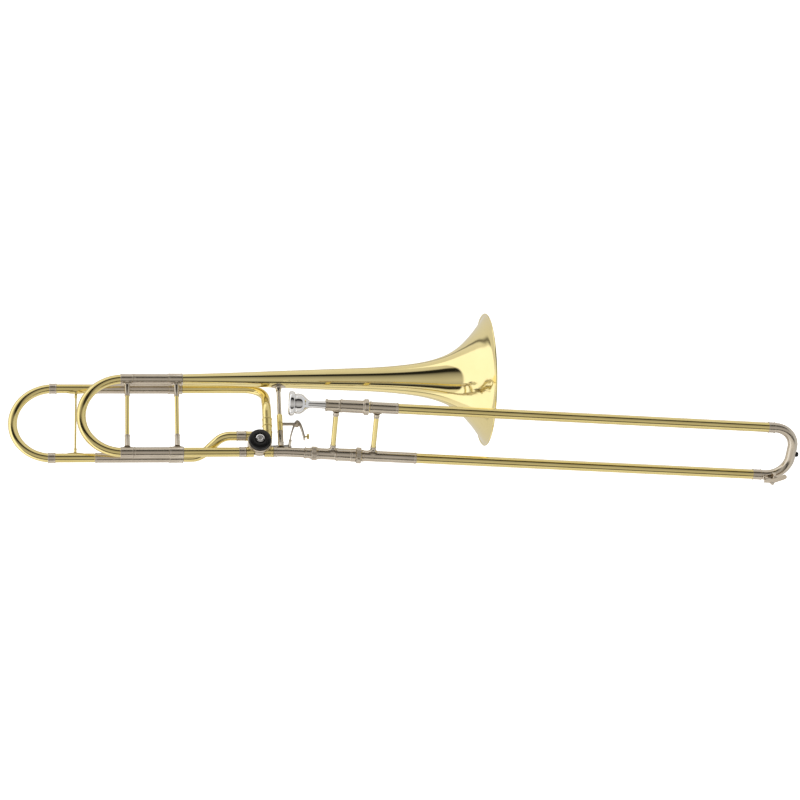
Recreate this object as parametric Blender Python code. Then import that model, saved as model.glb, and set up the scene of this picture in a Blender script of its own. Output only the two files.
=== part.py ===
"""Tenor trombone with an open-wrap valve section, built as separate one-body pieces in metres.

World frame: +X runs along the hand slide towards its bow, +Y away from the front, +Z up.
The origin lies on the lower slide axis at the left-hand brace.
Two section frames share the lower slide axis:
  bell section : local x along the bell axis, local y away from the front, local z up the bell plane
  slide section: local x along the slide,    local y away from the front, local z up the slide plane
"""

from math import cos, pi, radians, sin, sqrt, tan

import bmesh
import bpy
import numpy as np
from mathutils import Matrix, Vector

MM = 0.001
GAP = 0.3                      # clearance left between neighbouring fixed pieces, mm

# attitude of the two sections
BELL_TILT = radians(29.0)      # bell plane leans away from the front at its top
SLIDE_TILT = radians(28.7)     # slide plane leans towards the front at its top
NECK_BEND = radians(3.3)       # angle between neckpipe and slide, in the bell plane
BEND_X = -75.0                 # where the neckpipe bends, on the slide axis, mm

# bell section
LEG_SPACING = 132.0            # main legs, centre to centre
LEG_R = 7.5                    # lower leg tube, outside
SLEEVE_R = 8.4                 # main tuning sleeves, outside
SLEEVE_BORE = 7.7
INNER_LEG_R = 7.2              # main tuning slide inner legs, outside
WALL = 0.7                     # drawn tube wall
TUNING_FACE_X = -237.0         # where the tuning slide meets its sleeves
SLEEVE_END_X = -159.0
CROOK_R = LEG_SPACING / 2
CROOK_CENTRE_X = -253.0
CROOK_LEAD = 2.0               # straight run at each end of a crook
BELL_WALL = 1.2

# valve loop behind the main loop
LOOP_Y = 24.0
LOOP_LOW_Z = 3.3
LOOP_HIGH_Z = 127.8
LOOP_R = 7.2
LOOP_SLEEVE_R = 7.9
LOOP_SLEEVE_BORE = 6.9
LOOP_LEG_R = 6.4
LOOP_FACE_X = -297.0
LOOP_CROOK_CENTRE_X = -364.0
LOOP_CROOK_R = (LOOP_HIGH_Z - LOOP_LOW_Z) / 2

# valve
VALVE_X = -40.0
VALVE_Z = 13.0
CASING_R = 19.0
CASING_BORE = 16.2
ROTOR_R = 15.8
PORT_BORE = 6.2
WAY_R = 5.2                    # air ways cut in the rotor
LOOP_PORT_Y = -6.0
LOOP_PORT_Z = 25.5
DROP_X = -27.0                 # tube that comes down into the valve from above
ARM_R = 6.39                   # rotor arm, shaft to pin

# thumb lever and linkage
PIVOT_X, PIVOT_Z = 21.0, 50.0
FOOT_X, FOOT_Z = 8.0, 18.0
LINK_Y0, LINK_Y1 = 15.6, 18.0
LINK_DIR = (-0.867, 0.0, 0.498)
BRACE_X = -6.1

# hand slide
SLIDE_SPACING = 88.0
OUTER_R, OUTER_BORE = 7.9, 7.4
INNER_R, INNER_BORE = 6.8, 6.2
STOCKING_R = 7.1
GRIP_R = 8.8
BARREL_R, BARREL_BORE = 10.5, 8.3
LOW_TUBE_X0, LOW_TUBE_X1 = 37.0, 692.0
HIGH_TUBE_X0, HIGH_TUBE_X1 = 41.0, 699.0
BOW_CENTRE_X = 705.6
BOW_R = 35.0

SEG = 16                       # facets round every tube
SEG_BELL = 36

MATERIALS = {
    "brass": ((0.83, 0.62, 0.22, 1.0), 1.0, 0.18),
    "nickel_silver": ((0.66, 0.63, 0.57, 1.0), 1.0, 0.22),
    "silver": ((0.86, 0.86, 0.86, 1.0), 1.0, 0.12),
    "black_plastic": ((0.015, 0.015, 0.017, 1.0), 0.0, 0.35),
    "rubber": ((0.02, 0.02, 0.02, 1.0), 0.0, 0.7),
    "cork": ((0.55, 0.38, 0.22, 1.0), 0.0, 0.9),
    "steel": ((0.55, 0.55, 0.55, 1.0), 1.0, 0.3),
}


# ---------------------------------------------------------------- frames, materials and objects
def clear_scene():
    for obj in list(bpy.data.objects):
        bpy.data.objects.remove(obj, do_unlink=True)


def make_materials():
    made = {}
    for name, (colour, metallic, roughness) in MATERIALS.items():
        mat = bpy.data.materials.new(name)
        mat.use_nodes = True
        shader = mat.node_tree.nodes["Principled BSDF"]
        shader.inputs["Base Color"].default_value = colour
        shader.inputs["Metallic"].default_value = metallic
        shader.inputs["Roughness"].default_value = roughness
        made[name] = mat
    return made


def section_frame(name, matrix):
    empty = bpy.data.objects.new(name, None)
    bpy.context.scene.collection.objects.link(empty)
    empty.matrix_world = matrix
    return empty


def bell_matrix():
    place = Matrix.Translation((BEND_X * MM, 0.0, 0.0))
    return place @ Matrix.Rotation(-BELL_TILT, 4, "X") @ Matrix.Rotation(-NECK_BEND, 4, "Y")


def slide_matrix():
    return Matrix.Rotation(SLIDE_TILT, 4, "X")


class Shop:
    """Makes named objects inside one section frame; positions are given in millimetres."""

    def __init__(self, frame, materials):
        self.frame = frame
        self.materials = materials

    def add(self, name, verts, faces, material, origin=(0.0, 0.0, 0.0), smooth=True):
        start = Vector(origin)
        mesh = bpy.data.meshes.new(name)
        mesh.from_pydata([tuple((Vector(v) - start) * MM) for v in verts], [], faces)
        work = bmesh.new()
        work.from_mesh(mesh)
        bmesh.ops.recalc_face_normals(work, faces=work.faces)
        work.to_mesh(mesh)
        work.free()
        mesh.materials.append(self.materials[material])
        for poly in mesh.polygons:
            poly.use_smooth = smooth
        if smooth:
            mesh.set_sharp_from_angle(angle=radians(35.0))
        obj = bpy.data.objects.new(name, mesh)
        bpy.context.scene.collection.objects.link(obj)
        obj.parent = self.frame
        obj.location = start * MM
        return obj

    def cutter(self, name, verts, faces, origin):
        obj = self.add(name, verts, faces, "steel", origin, smooth=False)
        obj.hide_render = True
        obj.display_type = "WIRE"
        return obj


# ---------------------------------------------------------------- shapes
def axes_for(direction):
    """Two unit vectors square to a direction, chosen the same way for every piece."""
    along = Vector(direction).normalized()
    guide = Vector((0.0, 1.0, 0.0)) if abs(along.y) < 0.9 else Vector((1.0, 0.0, 0.0))
    side = (guide - along * guide.dot(along)).normalized()
    return along, side, along.cross(side)


def ring_points(centre, side, up, radius, count):
    base = Vector(centre)
    turn = 2.0 * pi / count
    return [base + side * (radius * cos(turn * i)) + up * (radius * sin(turn * i)) for i in range(count)]


def join_rings(first, second, count):
    return [(first + i, first + (i + 1) % count, second + (i + 1) % count, second + i) for i in range(count)]


def lathe(profile, start, direction, closed, count=SEG):
    """Turns (along, radius) points round an axis; a closed profile makes a ring-shaped body."""
    along, side, up = axes_for(direction)
    verts, faces, rings = [], [], []
    for distance, radius in profile:
        centre = Vector(start) + along * distance
        rings.append((len(verts), radius > 1e-6))
        if radius > 1e-6:
            verts += ring_points(centre, side, up, radius, count)
        else:
            verts.append(centre)
    pairs = list(zip(rings, rings[1:]))
    if closed:
        pairs.append((rings[-1], rings[0]))
    for (a, a_round), (b, b_round) in pairs:
        if a_round and b_round:
            faces += join_rings(a, b, count)
        elif a_round:
            faces += [(a + i, a + (i + 1) % count, b) for i in range(count)]
        elif b_round:
            faces += [(b + i, b + (i + 1) % count, a) for i in range(count)]
    return verts, faces


def tube_profile(x0, x1, outer, bore):
    return [(x0, outer), (x1, outer), (x1, bore), (x0, bore)]


def rounded_path(corners, radius, steps):
    """Points along a chain of straight runs whose corners are rounded off."""
    points = [Vector(corners[0])]
    for before, corner, after in zip(corners, corners[1:], corners[2:]):
        corner = Vector(corner)
        into = (corner - Vector(before)).normalized()
        out = (Vector(after) - corner).normalized()
        turn = into.angle(out)
        back = radius * tan(turn / 2.0)
        centre = corner + (out - into).normalized() * (radius / cos(turn / 2.0))
        start = corner - into * back - centre
        normal = into.cross(out).normalized()
        for i in range(steps + 1):
            points.append(centre + Matrix.Rotation(turn * i / steps, 3, normal) @ start)
    points.append(Vector(corners[-1]))
    kept = [points[0]]
    for point in points[1:]:
        if (point - kept[-1]).length > 0.01:
            kept.append(point)
    return kept


def pipe(path, outer, bore, count=SEG):
    """Hollow tube swept along a path, open at both ends."""
    tangents = []
    for i in range(len(path)):
        tangents.append((path[min(i + 1, len(path) - 1)] - path[max(i - 1, 0)]).normalized())
    tangents[0] = (path[1] - path[0]).normalized()
    tangents[-1] = (path[-1] - path[-2]).normalized()
    _, side, up = axes_for(tangents[0])
    frames = [(side, up)]
    for before, after in zip(tangents, tangents[1:]):
        turn = before.rotation_difference(after)
        side, up = turn @ side, turn @ up
        frames.append((side, up))
    verts, faces = [], []
    order = [(i, outer) for i in range(len(path))] + [(i, bore) for i in reversed(range(len(path)))]
    for i, radius in order:
        verts += ring_points(path[i], frames[i][0], frames[i][1], radius, count)
    total = len(order)
    for k in range(total):
        faces += join_rings(k * count, ((k + 1) % total) * count, count)
    return verts, faces


def extrude(outline, y0, y1):
    """Outline given as (x, z) points, pushed out along y."""
    count = len(outline)
    verts = [(x, y0, z) for x, z in outline] + [(x, y1, z) for x, z in outline]
    faces = [tuple(range(count)), tuple(range(count, 2 * count))]
    faces += [(i, (i + 1) % count, count + (i + 1) % count, count + i) for i in range(count)]
    return verts, faces


def round_bar(start, end, half, count=8):
    """(x, z) outline of a flat bar with round ends."""
    run = Vector((end[0] - start[0], end[1] - start[1]))
    heading = run.normalized()
    left = Vector((-heading.y, heading.x))
    outline = []
    for centre, sign in ((Vector(end), 1.0), (Vector(start), -1.0)):
        for i in range(count + 1):
            angle = -pi / 2.0 + pi * i / count
            point = centre + (heading * cos(angle) + left * sin(angle)) * (half * sign)
            outline.append((point.x, point.y))
    return outline


def modify(target, tool, operation):
    boolean = target.modifiers.new(tool.name, "BOOLEAN")
    boolean.operation = operation
    boolean.object = tool
    boolean.solver = "MANIFOLD"


def offset_profile(profile, distance):
    """Moves an (x, radius) curve towards the axis by a wall thickness."""
    pts = np.array(profile)
    heading = np.gradient(pts, axis=0)
    heading /= np.linalg.norm(heading, axis=1)[:, None]
    moved = pts + np.stack([heading[:, 1], -heading[:, 0]], axis=1) * distance
    return [tuple(p) for p in moved]


def brace(shop, name, x, y, low, high, rod, socket, foot=5.2, origin=None):
    """Upright stay with a foot and a socket at each end; low and high are its two faces."""
    profile = [
        (low, 0.0), (low, foot), (low + 1.2, foot), (low + 1.6, socket), (low + 9.0, socket),
        (low + 9.6, rod), (high - 9.6, rod), (high - 9.0, socket), (high - 1.6, socket),
        (high - 1.2, foot), (high, foot), (high, 0.0),
    ]
    verts, faces = lathe(profile, (x, y, 0.0), (0, 0, 1), False, 12)
    return shop.add(name, verts, faces, "brass", origin or (x, y, (low + high) / 2.0))


# ---------------------------------------------------------------- bell section
BELL_CURVE = [
    (-157.0, 8.2), (-110.0, 9.7), (-60.0, 11.6), (-10.0, 13.6), (40.0, 15.5), (90.0, 17.5),
    (135.0, 19.2), (165.0, 20.9), (190.0, 23.1), (210.0, 25.5), (228.0, 28.4), (244.0, 32.0),
    (258.0, 36.4), (270.0, 41.3), (281.0, 47.6), (291.0, 55.0), (300.0, 63.4), (308.0, 72.0),
    (315.5, 81.0), (322.5, 90.5), (328.0, 98.5), (331.5, 104.0),
]


def build_bell(shop):
    inner = offset_profile(BELL_CURVE, BELL_WALL)
    lip = [(333.2, 105.6), (333.8, 107.0), (333.2, 108.2), (331.8, 108.6), (330.6, 107.8)]
    outer = BELL_CURVE[:-1] + [(330.4, 103.4), (330.2, 106.0)]
    profile = outer + list(reversed(lip)) + list(reversed(inner[:-1]))
    verts, faces = lathe(profile, (0, 0, LEG_SPACING), (1, 0, 0), True, SEG_BELL)
    shop.add("bell", verts, faces, "brass", (0, 0, LEG_SPACING))


def straight(shop, name, x0, x1, y, z, outer, bore, material, origin=None, bead=0.0):
    profile = tube_profile(x0, x1, outer, bore)
    if bead:
        profile = [(x0, outer - bead), (x0 + bead, outer), (x1 - bead, outer), (x1, outer - bead),
                   (x1, bore), (x0, bore)]
    verts, faces = lathe(profile, (0, y, z), (1, 0, 0), True)
    return shop.add(name, verts, faces, material, origin or (0.5 * (x0 + x1), y, z))


def build_main_loop(shop):
    for tag, z in (("upper", LEG_SPACING), ("lower", 0.0)):
        step_x = -182.0
        profile = [
            (TUNING_FACE_X, SLEEVE_R + 0.4), (TUNING_FACE_X + 3.0, SLEEVE_R + 0.4),
            (TUNING_FACE_X + 3.6, SLEEVE_R), (step_x, SLEEVE_R), (step_x + 0.8, SLEEVE_R + 0.9),
            (SLEEVE_END_X - 0.8, SLEEVE_R + 0.9), (SLEEVE_END_X, SLEEVE_R + 0.2),
            (SLEEVE_END_X, SLEEVE_BORE), (TUNING_FACE_X, SLEEVE_BORE),
        ]
        verts, faces = lathe(profile, (0, 0, z), (1, 0, 0), True)
        shop.add("tuning_sleeve_" + tag, verts, faces, "nickel_silver", (step_x, 0, z))
    straight(shop, "lower_leg", SLEEVE_END_X + GAP, -72.0 - GAP, 0, 0, LEG_R, LEG_R - WALL, "brass")
    straight(shop, "valve_inlet_ferrule", -72.0, -61.5, 0, 0, LEG_R + 0.9, PORT_BORE, "nickel_silver",
             bead=0.5)
    brace(shop, "fixed_brace", -169.0, 0.0, SLEEVE_R + 0.9 + GAP, LEG_SPACING - SLEEVE_R - 0.9 - GAP,
          3.4, 4.2)


def build_tuning_slide(shop):
    origin = (CROOK_CENTRE_X, 0.0, CROOK_R)
    left = CROOK_CENTRE_X - CROOK_R
    start = CROOK_CENTRE_X + CROOK_LEAD
    corners = [(start, 0, LEG_SPACING), (left, 0, LEG_SPACING), (left, 0, 0), (start, 0, 0)]
    verts, faces = pipe(rounded_path(corners, CROOK_R, 8), LEG_R, LEG_R - WALL)
    shop.add("tuning_crook", verts, faces, "brass", origin)
    for tag, z in (("upper", LEG_SPACING), ("lower", 0.0)):
        straight(shop, "tuning_leg_" + tag, start + GAP, SLEEVE_END_X - 12.0, 0, z,
                 INNER_LEG_R, INNER_LEG_R - WALL, "nickel_silver", origin)
        straight(shop, "tuning_ferrule_" + tag, -257.5, TUNING_FACE_X - GAP, 0, z,
                 SLEEVE_R + 0.6, LEG_R + 0.55, "nickel_silver", origin, bead=0.6)
    brace(shop, "tuning_brace", -247.0, 0.0, SLEEVE_R + 0.5 + GAP, LEG_SPACING - SLEEVE_R - 0.5 - GAP,
          3.4, 4.2, origin=origin)


def build_loop(shop):
    for tag, z in (("upper", LOOP_HIGH_Z), ("lower", LOOP_LOW_Z)):
        step_x = -182.0
        profile = [
            (LOOP_FACE_X, LOOP_SLEEVE_R + 0.4), (LOOP_FACE_X + 3.0, LOOP_SLEEVE_R + 0.4),
            (LOOP_FACE_X + 3.6, LOOP_SLEEVE_R), (step_x, LOOP_SLEEVE_R),
            (step_x + 0.8, LOOP_SLEEVE_R + 0.8), (SLEEVE_END_X - 0.8, LOOP_SLEEVE_R + 0.8),
            (SLEEVE_END_X, LOOP_SLEEVE_R + 0.1), (SLEEVE_END_X, LOOP_SLEEVE_BORE),
            (LOOP_FACE_X, LOOP_SLEEVE_BORE),
        ]
        verts, faces = lathe(profile, (0, LOOP_Y, z), (1, 0, 0), True)
        shop.add("loop_sleeve_" + tag, verts, faces, "nickel_silver", (step_x, LOOP_Y, z))
    start = SLEEVE_END_X + GAP
    corners = [(start, LOOP_Y, LOOP_HIGH_Z), (DROP_X, LOOP_Y, LOOP_HIGH_Z),
               (DROP_X, LOOP_PORT_Y, 76.0), (DROP_X, LOOP_PORT_Y, 33.6)]
    verts, faces = pipe(rounded_path(corners, 32.0, 7), LOOP_R, LOOP_R - WALL)
    shop.add("loop_upper_tube", verts, faces, "brass", (DROP_X, LOOP_Y, LOOP_HIGH_Z))
    corners = [(start, LOOP_Y, LOOP_LOW_Z), (-134.0, LOOP_Y, LOOP_LOW_Z),
               (-98.0, LOOP_PORT_Y, LOOP_PORT_Z), (-76.0 - GAP, LOOP_PORT_Y, LOOP_PORT_Z)]
    verts, faces = pipe(rounded_path(corners, 30.0, 5), LOOP_R, LOOP_R - WALL)
    shop.add("loop_lower_tube", verts, faces, "brass", (start, LOOP_Y, LOOP_LOW_Z))
    straight(shop, "loop_inlet_ferrule", -76.0, -61.5, LOOP_PORT_Y, LOOP_PORT_Z,
             LOOP_R + 0.8, PORT_BORE, "nickel_silver", bead=0.5)
    profile = [(42.0, LOOP_R + 0.4), (42.6, LOOP_R + 0.9), (55.4, LOOP_R + 0.9), (56.0, LOOP_R + 0.4),
               (56.0, LOOP_R + 0.15), (42.0, LOOP_R + 0.15)]
    verts, faces = lathe(profile, (DROP_X, LOOP_PORT_Y, 0.0), (0, 0, 1), True)
    shop.add("loop_drop_ferrule", verts, faces, "nickel_silver", (DROP_X, LOOP_PORT_Y, 49.0))
    head = Vector((0.0, LOOP_Y, LOOP_HIGH_Z - LEG_SPACING))
    near, far = SLEEVE_R + 0.9 + GAP, head.length - LOOP_SLEEVE_R - 0.8 - GAP
    verts, faces = lathe([(near, 0.0), (near, 3.2), (far, 3.2), (far, 0.0)], (-170.0, 0.0, LEG_SPACING),
                         head, False, 12)
    shop.add("loop_stay", verts, faces, "brass", (-170.0, LOOP_Y / 2.0, LEG_SPACING))


def build_loop_slide(shop):
    mid = (LOOP_HIGH_Z + LOOP_LOW_Z) / 2.0
    origin = (LOOP_CROOK_CENTRE_X, LOOP_Y, mid)
    left = LOOP_CROOK_CENTRE_X - LOOP_CROOK_R
    start = LOOP_CROOK_CENTRE_X + CROOK_LEAD
    corners = [(start, LOOP_Y, LOOP_HIGH_Z), (left, LOOP_Y, LOOP_HIGH_Z), (left, LOOP_Y, LOOP_LOW_Z),
               (start, LOOP_Y, LOOP_LOW_Z)]
    verts, faces = pipe(rounded_path(corners, LOOP_CROOK_R, 8), LOOP_R, LOOP_R - WALL)
    shop.add("loop_crook", verts, faces, "brass", origin)
    for tag, z in (("upper", LOOP_HIGH_Z), ("lower", LOOP_LOW_Z)):
        end = SLEEVE_END_X - 16.0
        profile = [
            (start + GAP, LOOP_R), (LOOP_FACE_X - GAP, LOOP_R),
            (LOOP_FACE_X - GAP, LOOP_LEG_R), (end, LOOP_LEG_R), (end, LOOP_LEG_R - WALL),
            (start + GAP, LOOP_LEG_R - WALL),
        ]
        verts, faces = lathe(profile, (0, LOOP_Y, z), (1, 0, 0), True)
        shop.add("loop_leg_" + tag, verts, faces, "brass", origin)
        straight(shop, "loop_ferrule_" + tag, -370.0, -358.5, LOOP_Y, z,
                 LOOP_R + 1.3, LOOP_R + 0.65, "nickel_silver", origin, bead=0.6)
    brace(shop, "loop_brace", -328.0, LOOP_Y, LOOP_LOW_Z + LOOP_R + GAP, LOOP_HIGH_Z - LOOP_R - GAP,
          2.0, 2.8, 4.6, origin)


def build_neck(shop):
    bend = Vector((cos(NECK_BEND), 0.0, -sin(NECK_BEND)))
    path = rounded_path([(-18.3, 0, 0), (0, 0, 0), tuple(bend * 30.0)], 160.0, 4)
    verts, faces = pipe(path, LEG_R, LEG_R - WALL)
    shop.add("neckpipe", verts, faces, "nickel_silver", (0, 0, 0))
    profile = [
        (30.0 + GAP, 8.0), (31.0, 9.0), (33.5, 9.0), (34.0, 8.4), (39.5, 8.4), (40.0, 9.3),
        (41.6, 9.3), (41.6, 7.3), (30.0 + GAP, 7.3),
    ]
    verts, faces = lathe(profile, (0, 0, 0), bend, True)
    shop.add("slide_receiver", verts, faces, "nickel_silver", tuple(bend * 36.0))


def build_neck_brace(shop):
    top = LEG_SPACING - 13.8 - GAP - 0.2
    profile = [
        (LEG_R + GAP, 0.0), (LEG_R + GAP, 7.0), (9.2, 7.0), (10.5, 4.3), (36.5, 4.3), (37.0, 2.4),
        (110.0, 2.4), (111.0, 3.6), (top - 1.8, 3.6), (top - 1.3, 6.4), (top, 6.4), (top, 0.0),
    ]
    verts, faces = lathe(profile, (BRACE_X, 0, 0), (0, 0, 1), False, 20)
    shop.add("neck_brace", verts, faces, "nickel_silver", (BRACE_X, 0, 60.0))
    profile = [(37.3, 4.3), (66.0, 4.3), (66.8, 3.4), (66.8, 2.6), (37.3, 2.6)]
    verts, faces = lathe(profile, (BRACE_X, 0, 0), (0, 0, 1), True, 20)
    bracket = shop.add("lever_bracket", verts, faces, "brass", (BRACE_X, 0, 50.0))
    verts, faces = extrude(round_bar((BRACE_X + 6.2, 50.0), (PIVOT_X, PIVOT_Z), 2.6), -1.4, 1.4)
    modify(bracket, shop.cutter("bracket_arm", verts, faces, (PIVOT_X, 0, PIVOT_Z)), "UNION")
    verts, faces = lathe([(-7.5, 0.0), (-7.5, 1.6), (7.5, 1.6), (7.5, 0.0)],
                         (PIVOT_X, 0, PIVOT_Z), (0, 1, 0), False, 16)
    modify(bracket, shop.cutter("bracket_pin", verts, faces, (PIVOT_X, 0, PIVOT_Z)), "UNION")


# ---------------------------------------------------------------- valve
def build_valve(shop):
    centre = (VALVE_X, 0.0, VALVE_Z)
    outer = [(-15.0, 0.0), (-15.0, CASING_R), (1.0, CASING_R), (5.0, CASING_R - 1.6),
             (10.0, CASING_R - 5.4), (10.0, 0.0)]
    verts, faces = lathe(outer, centre, (0, 1, 0), False, 24)
    casing = shop.add("valve_casing", verts, faces, "nickel_silver", centre)
    stubs = [
        ("inlet_boss", (-61.2, 0.0, 0.0), (1, 0, 0), 20.0, LEG_R + 1.1),
        ("outlet_boss", (-18.6, 0.0, 0.0), (-1, 0, 0), 20.0, LEG_R + 1.1),
        ("loop_inlet_boss", (-61.2, LOOP_PORT_Y, LOOP_PORT_Z), (1, 0, 0), 18.0, LOOP_R + 0.8),
        ("loop_drop_boss", (DROP_X, LOOP_PORT_Y, 33.3), (0, 0, -1), 18.0, LOOP_R + 0.8),
    ]
    for name, start, direction, length, radius in stubs:
        verts, faces = lathe([(0.0, 0.0), (0.0, radius), (length, radius), (length, 0.0)],
                             start, direction, False, SEG)
        modify(casing, shop.cutter(name, verts, faces, start), "UNION")
    # the bore is narrowed at the back so the cone-shaped wall stays closed
    verts, faces = lathe([(-16.0, 0.0), (-16.0, CASING_BORE), (4.0, CASING_BORE), (4.0, 11.0),
                          (11.0, 11.0), (11.0, 0.0)], centre, (0, 1, 0), False, 24)
    modify(casing, shop.cutter("casing_bore", verts, faces, centre), "DIFFERENCE")
    for name, start, direction, length, radius in stubs:
        away = Vector(start) - Vector(direction)
        verts, faces = lathe([(0.0, 0.0), (0.0, PORT_BORE), (length, PORT_BORE), (length, 0.0)],
                             away, direction, False, SEG)
        modify(casing, shop.cutter(name + "_port", verts, faces, start), "DIFFERENCE")
    profile = [(-21.0, 6.2), (-21.0, 16.2), (-19.8, 17.7), (-15.0 - GAP, 17.7), (-15.0 - GAP, 6.2)]
    verts, faces = lathe(profile, centre, (0, 1, 0), True, 24)
    shop.add("valve_cap_ring", verts, faces, "black_plastic", centre)
    profile = [(8.2, 3.2), (8.2, 10.6), (12.2, 10.6), (12.2, 3.2)]
    verts, faces = lathe(profile, centre, (0, 1, 0), True, 24)
    shop.add("valve_back_plate", verts, faces, "nickel_silver", centre)


def build_rotor(shop):
    centre = (VALVE_X, 0.0, VALVE_Z)
    profile = [(-20.4, 0.0), (-20.4, 2.6), (-14.6, 2.6), (-14.6, ROTOR_R), (3.5, ROTOR_R),
               (3.5, 5.0), (7.6, 5.0), (7.6, 2.8), (15.3, 2.8), (15.3, 0.0)]
    verts, faces = lathe(profile, centre, (0, 1, 0), False, 24)
    rotor = shop.add("rotor", verts, faces, "steel", centre)
    for name, y, z in (("rotor_main_way", -2.4, 0.0), ("rotor_loop_way", LOOP_PORT_Y, 2.0 * VALVE_Z)):
        verts, faces = lathe([(-22.0, 0.0), (-22.0, WAY_R), (22.0, WAY_R), (22.0, 0.0)],
                             (VALVE_X, y, z), (1, 0, 0), False, SEG)
        modify(rotor, shop.cutter(name, verts, faces, centre), "DIFFERENCE")
    verts, faces = lathe([(-24.0, 0.0), (-24.0, 5.6), (-23.2, 6.0), (-20.7, 6.0), (-20.7, 0.0)],
                         centre, (0, 1, 0), False, 24)
    screw = shop.add("rotor_screw", verts, faces, "silver", centre)
    verts, faces = lathe([(-25.0, 0.0), (-25.0, 3.3), (-22.9, 3.3), (-22.9, 0.0)], centre, (0, 1, 0), False, 16)
    modify(screw, shop.cutter("screw_recess", verts, faces, centre), "DIFFERENCE")
    lean = Vector(LINK_DIR)
    square = Vector((-lean.z, 0.0, lean.x)) * -1.0
    pin = Vector(centre) + (square - lean) * (ARM_R * sqrt(0.5))
    verts, faces = extrude(round_bar((VALVE_X, VALVE_Z), (pin.x, pin.z), 4.4), 12.6, 15.2)
    arm = shop.add("rotor_arm", verts, faces, "steel", centre)
    verts, faces = lathe([(12.0, 0.0), (12.0, 3.0), (19.0, 3.0), (19.0, 0.0)], centre, (0, 1, 0), False, 16)
    modify(arm, shop.cutter("arm_eye", verts, faces, centre), "DIFFERENCE")
    verts, faces = lathe([(14.0, 0.0), (14.0, 1.0), (18.8, 1.0), (18.8, 0.0)],
                         (pin.x, 0.0, pin.z), (0, 1, 0), False, 16)
    modify(arm, shop.cutter("arm_pin", verts, faces, centre), "UNION")
    return pin, square


def build_lever(shop):
    pivot = (PIVOT_X, 0.0, PIVOT_Z)
    outside = [(8.0, 15.8), (9.0, 24.0), (11.6, 34.0), (14.6, 44.0), (17.6, 51.5), (21.5, 55.0),
               (25.6, 52.6), (28.6, 45.0), (31.0, 34.0), (32.8, 22.0)]
    inside = [(31.0, 22.0), (29.2, 33.5), (26.9, 43.8), (24.6, 49.8)]
    near = [(17.4, 44.0), (13.6, 33.6), (11.0, 24.0), (10.0, 15.8)]
    crown = [(24.2, 47.0), (21.0, 46.2), (18.2, 47.0)]
    verts, faces = extrude(outside + inside + crown + near, -4.8, 4.8)
    lever = shop.add("thumb_lever", verts, faces, "nickel_silver", pivot)
    verts, faces = lathe([(-6.0, 0.0), (-6.0, 1.9), (6.0, 1.9), (6.0, 0.0)], pivot, (0, 1, 0), False, 16)
    modify(lever, shop.cutter("lever_pivot_hole", verts, faces, pivot), "DIFFERENCE")
    outline = [(-8.0, 45.0), (26.2, 45.0), (26.2, 56.0), (-8.0, 56.0)]
    verts, faces = extrude(outline, -1.8, 1.8)
    modify(lever, shop.cutter("lever_slot", verts, faces, pivot), "DIFFERENCE")
    verts, faces = lathe([(-1.0, 0.0), (-1.0, 2.1), (15.0, 2.1), (15.0, 1.0), (18.6, 1.0), (18.6, 0.0)],
                         (FOOT_X + 0.8, 0.0, FOOT_Z), (0, 1, 0), False, 16)
    modify(lever, shop.cutter("lever_foot_pin", verts, faces, pivot), "UNION")
    profile = [(0.0, 0.0), (0.0, 1.3), (3.4, 1.3), (3.8, 4.3), (6.4, 4.3), (6.9, 3.4), (6.9, 0.0)]
    verts, faces = lathe(profile, (32.6, 0.0, 27.5), (1, 0, 0), False, 20)
    shop.add("lever_knob", verts, faces, "brass", pivot)


def build_link(shop, pin, square):
    foot = (FOOT_X + 0.8, FOOT_Z)
    shift = square * 0.95
    eye = (pin.x + shift.x, pin.z + shift.z)
    verts, faces = extrude(round_bar(eye, foot, 3.6), LINK_Y0, LINK_Y1)
    link = shop.add("link_rod", verts, faces, "steel", (foot[0], LINK_Y0, foot[1]))
    verts, faces = lathe([(LINK_Y0 - 1, 0.0), (LINK_Y0 - 1, 1.5), (LINK_Y1 + 1, 1.5), (LINK_Y1 + 1, 0.0)],
                         (foot[0], 0.0, foot[1]), (0, 1, 0), False, 16)
    modify(link, shop.cutter("link_foot_eye", verts, faces, (foot[0], 0.0, foot[1])), "DIFFERENCE")
    far = (pin.x + square.x * 1.9, pin.z + square.z * 1.9)
    verts, faces = extrude(round_bar((pin.x, pin.z), far, 1.4), LINK_Y0 - 1, LINK_Y1 + 1)
    modify(link, shop.cutter("link_arm_slot", verts, faces, tuple(pin)), "DIFFERENCE")


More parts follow.
